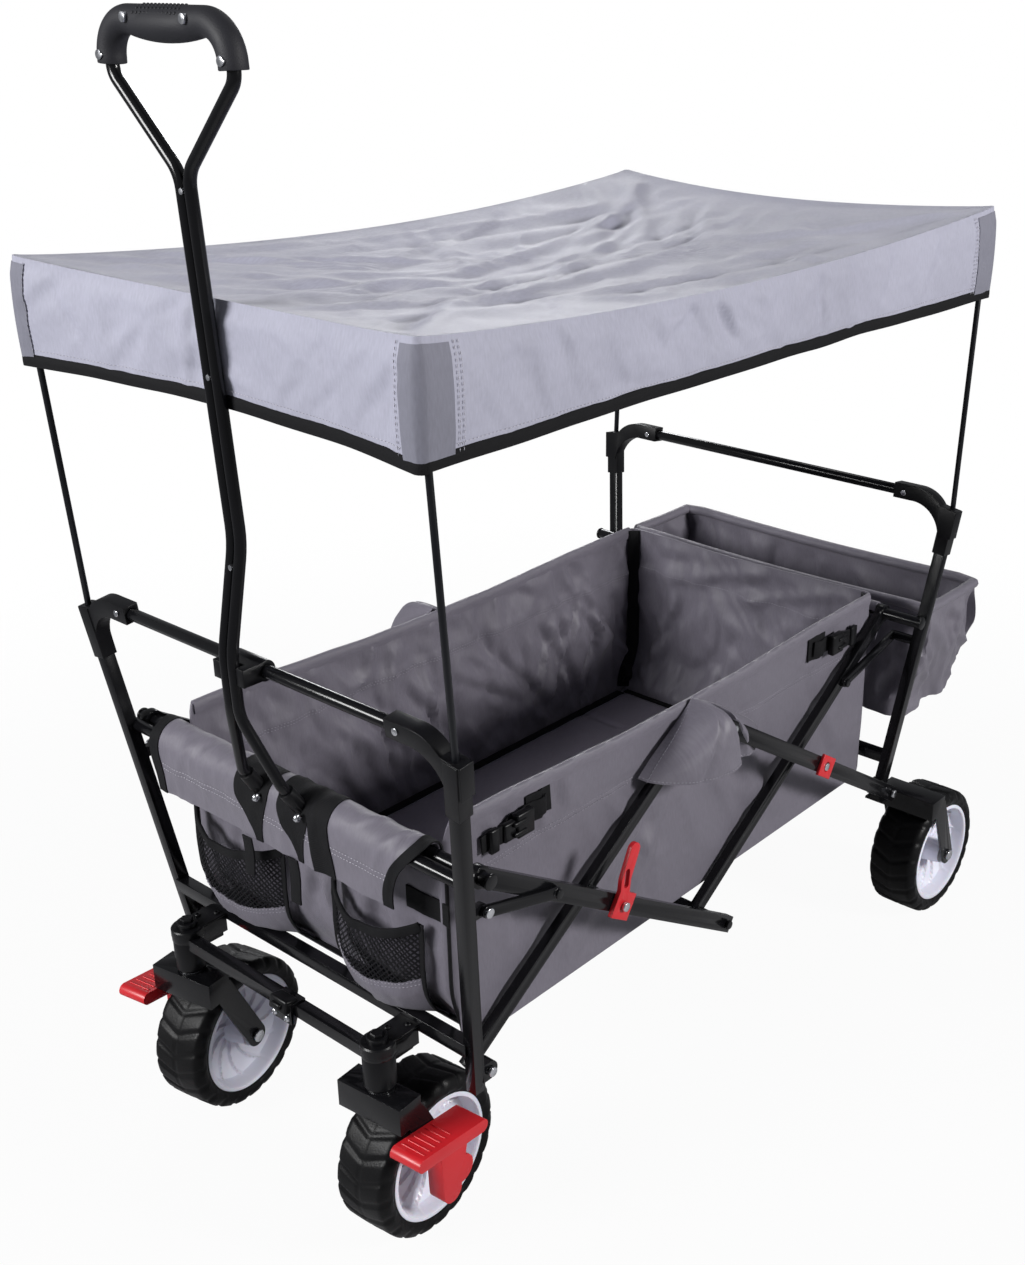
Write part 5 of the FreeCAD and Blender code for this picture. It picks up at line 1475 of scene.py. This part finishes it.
def pedal_ridges(side, sign):
    """Six thin ribs across the front of a pedal's tread, in the swivelled wheel's own directions."""
    joint = JOINTS[f"front_spin_{side}"]
    centre = Vector(joint["pos_m"]) / MM
    out = Vector(joint["axis"]).normalized()
    out = out if out.x * sign > 0 else -out
    ahead = Vector((-out.y, out.x, 0)) * sign
    slope = Vector((0, 86.6, -14.0)).normalized()
    origin = at(0, 0, 0) / MM
    for step in range(6):
        run = 6.0 + 8.5 * step
        y = -73.6 + slope.y * run
        z = 66.0 + slope.z * run + 7.2
        ends = []
        for x in (46.0, 74.0 - 0.9 * step):
            spot = centre + out * x + ahead * y + Vector((0, 0, z))
            ends.append(tuple(v - shift for v, shift in zip(spot, origin)))
        halfway = tuple((a + b) / 2 for a, b in zip(*ends))
        points = [ends[0], halfway, ends[1]]
        tube(f"pedal_ridge_{side}_{step}", points, 0.9, "red_plastic", BODY_OF[f"brake_pedal_{side}"])


for side, sign in SIDES:
    pedal_ridges(side, sign)

GRIP_Y, GRIP_Z, GRIP_RADIUS = -449.0, 1152.5, 11.7


def grip_dots():
    """Rows of small domes on the grip's upper front, one mesh."""
    verts, faces = [], []
    for row in range(4):
        lean = math.radians(28 + 20 * row)
        up = Vector((0, -math.cos(lean), math.sin(lean)))
        side_way = Vector((0, math.sin(lean), math.cos(lean)))
        for step in range(12):
            spot = Vector((-29.0 + 5.0 * step + 2.5 * (row % 2), GRIP_Y, GRIP_Z)) + up * GRIP_RADIUS
            base = len(verts)
            for radius, height in ((1.5, -0.3), (1.2, 0.5), (0.6, 0.85)):
                for k in range(8):
                    a = math.pi * k / 4
                    flat = Vector((math.cos(a), 0, 0)) * radius + side_way * (radius * math.sin(a))
                    verts.append(spot + flat + up * height)
            faces += [tuple(base + k for k in face) for face in ring_faces(3, range(8))]
    solid("grip_dots", verts, faces, "grip_rubber", "pull_handle", 180)


grip_dots()
for step, x in enumerate((14.0, 33.0)):
    bolt(f"catch_bolt_{step}", (x, -447.4, 221.0), (0, -1, 0), 3.8, "front_frame")
soft_box("catch_hook", (11.0, -452.5, 226.5), (37.0, -436.0, 241.5), 2.4, "front_frame", -12)
soft_box("catch_tongue", (17.0, -456.0, 232.0), (31.0, -448.0, 238.5), 1.8, "front_frame", -12)
for side, sign in SIDES:
    bolt(f"yoke_bolt_{side}", (sign * 31.0 + 7.6, -419.0, RIM_Z - 1.5), (1, 0, 0), 4.6, "pull_handle")


# ---------------------------------------------------------------- floor, light and camera
def clear_tree(block):
    """The block's node tree, emptied."""
    block.use_nodes = True
    block.node_tree.nodes.clear()
    return block.node_tree


def floor_material():
    """A pale matt floor that the camera sees nearly white, fading into the backdrop away from the wagon."""
    material = bpy.data.materials.new("studio_floor")
    build(clear_tree(material), {
        "output": ("ShaderNodeOutputMaterial", {}),
        "mix": ("ShaderNodeMixShader", {}),
        "glow": ("ShaderNodeEmission", {"Color": (1, 1, 1, 1)}),
        "matte": ("ShaderNodeBsdfDiffuse", {"Color": (0.45, 0.45, 0.46, 1)}),
        "clear": ("ShaderNodeBsdfTransparent", {}),
        "edge": ("ShaderNodeMixShader", {}),
        "path": ("ShaderNodeLightPath", {}),
        "share": ("ShaderNodeMath", {"operation": "MULTIPLY", 1: 0.95}),
        "place": ("ShaderNodeTexCoord", {}),
        "away": ("ShaderNodeVectorMath", {"operation": "LENGTH"}),
        "far": ("ShaderNodeMapRange", {"interpolation_type": "SMOOTHSTEP", "From Min": 0.75, "From Max": 1.9}),
    }, (
        ("path", "Is Camera Ray", "share", 0), ("share", 0, "mix", "Fac"), ("matte", 0, "mix", 1),
        ("glow", 0, "mix", 2), ("place", "Object", "away", 0), ("away", "Value", "far", "Value"),
        ("far", "Result", "edge", "Fac"), ("mix", 0, "edge", 1), ("clear", 0, "edge", 2),
        ("edge", 0, "output", "Surface"),
    ))
    return material


def studio_world():
    """White where the camera looks past the wagon, a dim cool light for everything else."""
    world = bpy.data.worlds.new("studio")
    build(clear_tree(world), {
        "output": ("ShaderNodeOutputWorld", {}),
        "seen": ("ShaderNodeBackground", {"Color": (1, 1, 1, 1), "Strength": 1.0}),
        "light": ("ShaderNodeBackground", {"Color": (0.93, 0.95, 1.0, 1), "Strength": 0.2}),
        "mix": ("ShaderNodeMixShader", {}),
        "path": ("ShaderNodeLightPath", {}),
    }, (
        ("path", "Is Camera Ray", "mix", "Fac"), ("light", 0, "mix", 1), ("seen", 0, "mix", 2),
        ("mix", 0, "output", "Surface"),
    ))
    scene.world = world


def soft_lamp(name, place, target, size, power, color=(1, 1, 1)):
    data = bpy.data.lights.new(name, "AREA")
    data.shape = "RECTANGLE"
    data.size, data.size_y = size
    data.energy = power
    data.color = color
    lamp = bpy.data.objects.new(name, data)
    scene.collection.objects.link(lamp)
    lamp.location = place
    lamp.rotation_euler = (Vector(target) - Vector(place)).to_track_quat("-Z", "Y").to_euler()


FLOOR_REACH = 2.2
floor_corners = [(x * FLOOR_REACH, y * FLOOR_REACH, -0.0005) for x, y in ((-1, -1), (1, -1), (1, 1), (-1, 1))]
floor = raw_piece("studio_floor", floor_corners, [(0, 1, 2, 3)])
floor.data.materials.append(floor_material())
studio_world()
soft_lamp("key", (-1.2, -3.5, 2.1), (0, 0, 0.55), (1.7, 1.1), 172)
soft_lamp("side", (3.2, 0.9, 1.7), (0, 0.1, 0.4), (0.7, 0.6), 112, (1.0, 0.99, 0.98))
soft_lamp("top", (-1.2, 1.9, 3.2), (0, 0, 0.4), (0.6, 0.6), 5)
soft_lamp("back", (-2.6, 2.6, 1.6), (0, 0.2, 0.5), (0.8, 0.8), 26, (0.97, 0.98, 1.0))

CAMERA_PLACE = (1096.0, -1218.0, 1186.0)
CAMERA_AZIMUTH = 39.45
CAMERA_DOWN = 22.05
CAMERA_ROLL = 0.2
camera_data = bpy.data.cameras.new("camera")
camera_data.sensor_width = 36.0
camera_data.lens = 43.93
camera_data.shift_x = -0.0859
camera_data.shift_y = -0.0251
camera_data.clip_end = 60
camera = bpy.data.objects.new("camera", camera_data)
scene.collection.objects.link(camera)
aim = Matrix.Rotation(math.radians(CAMERA_AZIMUTH), 4, "Z") @ Matrix.Rotation(math.radians(90 - CAMERA_DOWN), 4, "X")
camera.matrix_world = Matrix.Translation(at(*CAMERA_PLACE)) @ aim @ Matrix.Rotation(math.radians(CAMERA_ROLL), 4, "Z")
scene.camera = camera
scene.view_settings.view_transform = "Standard"
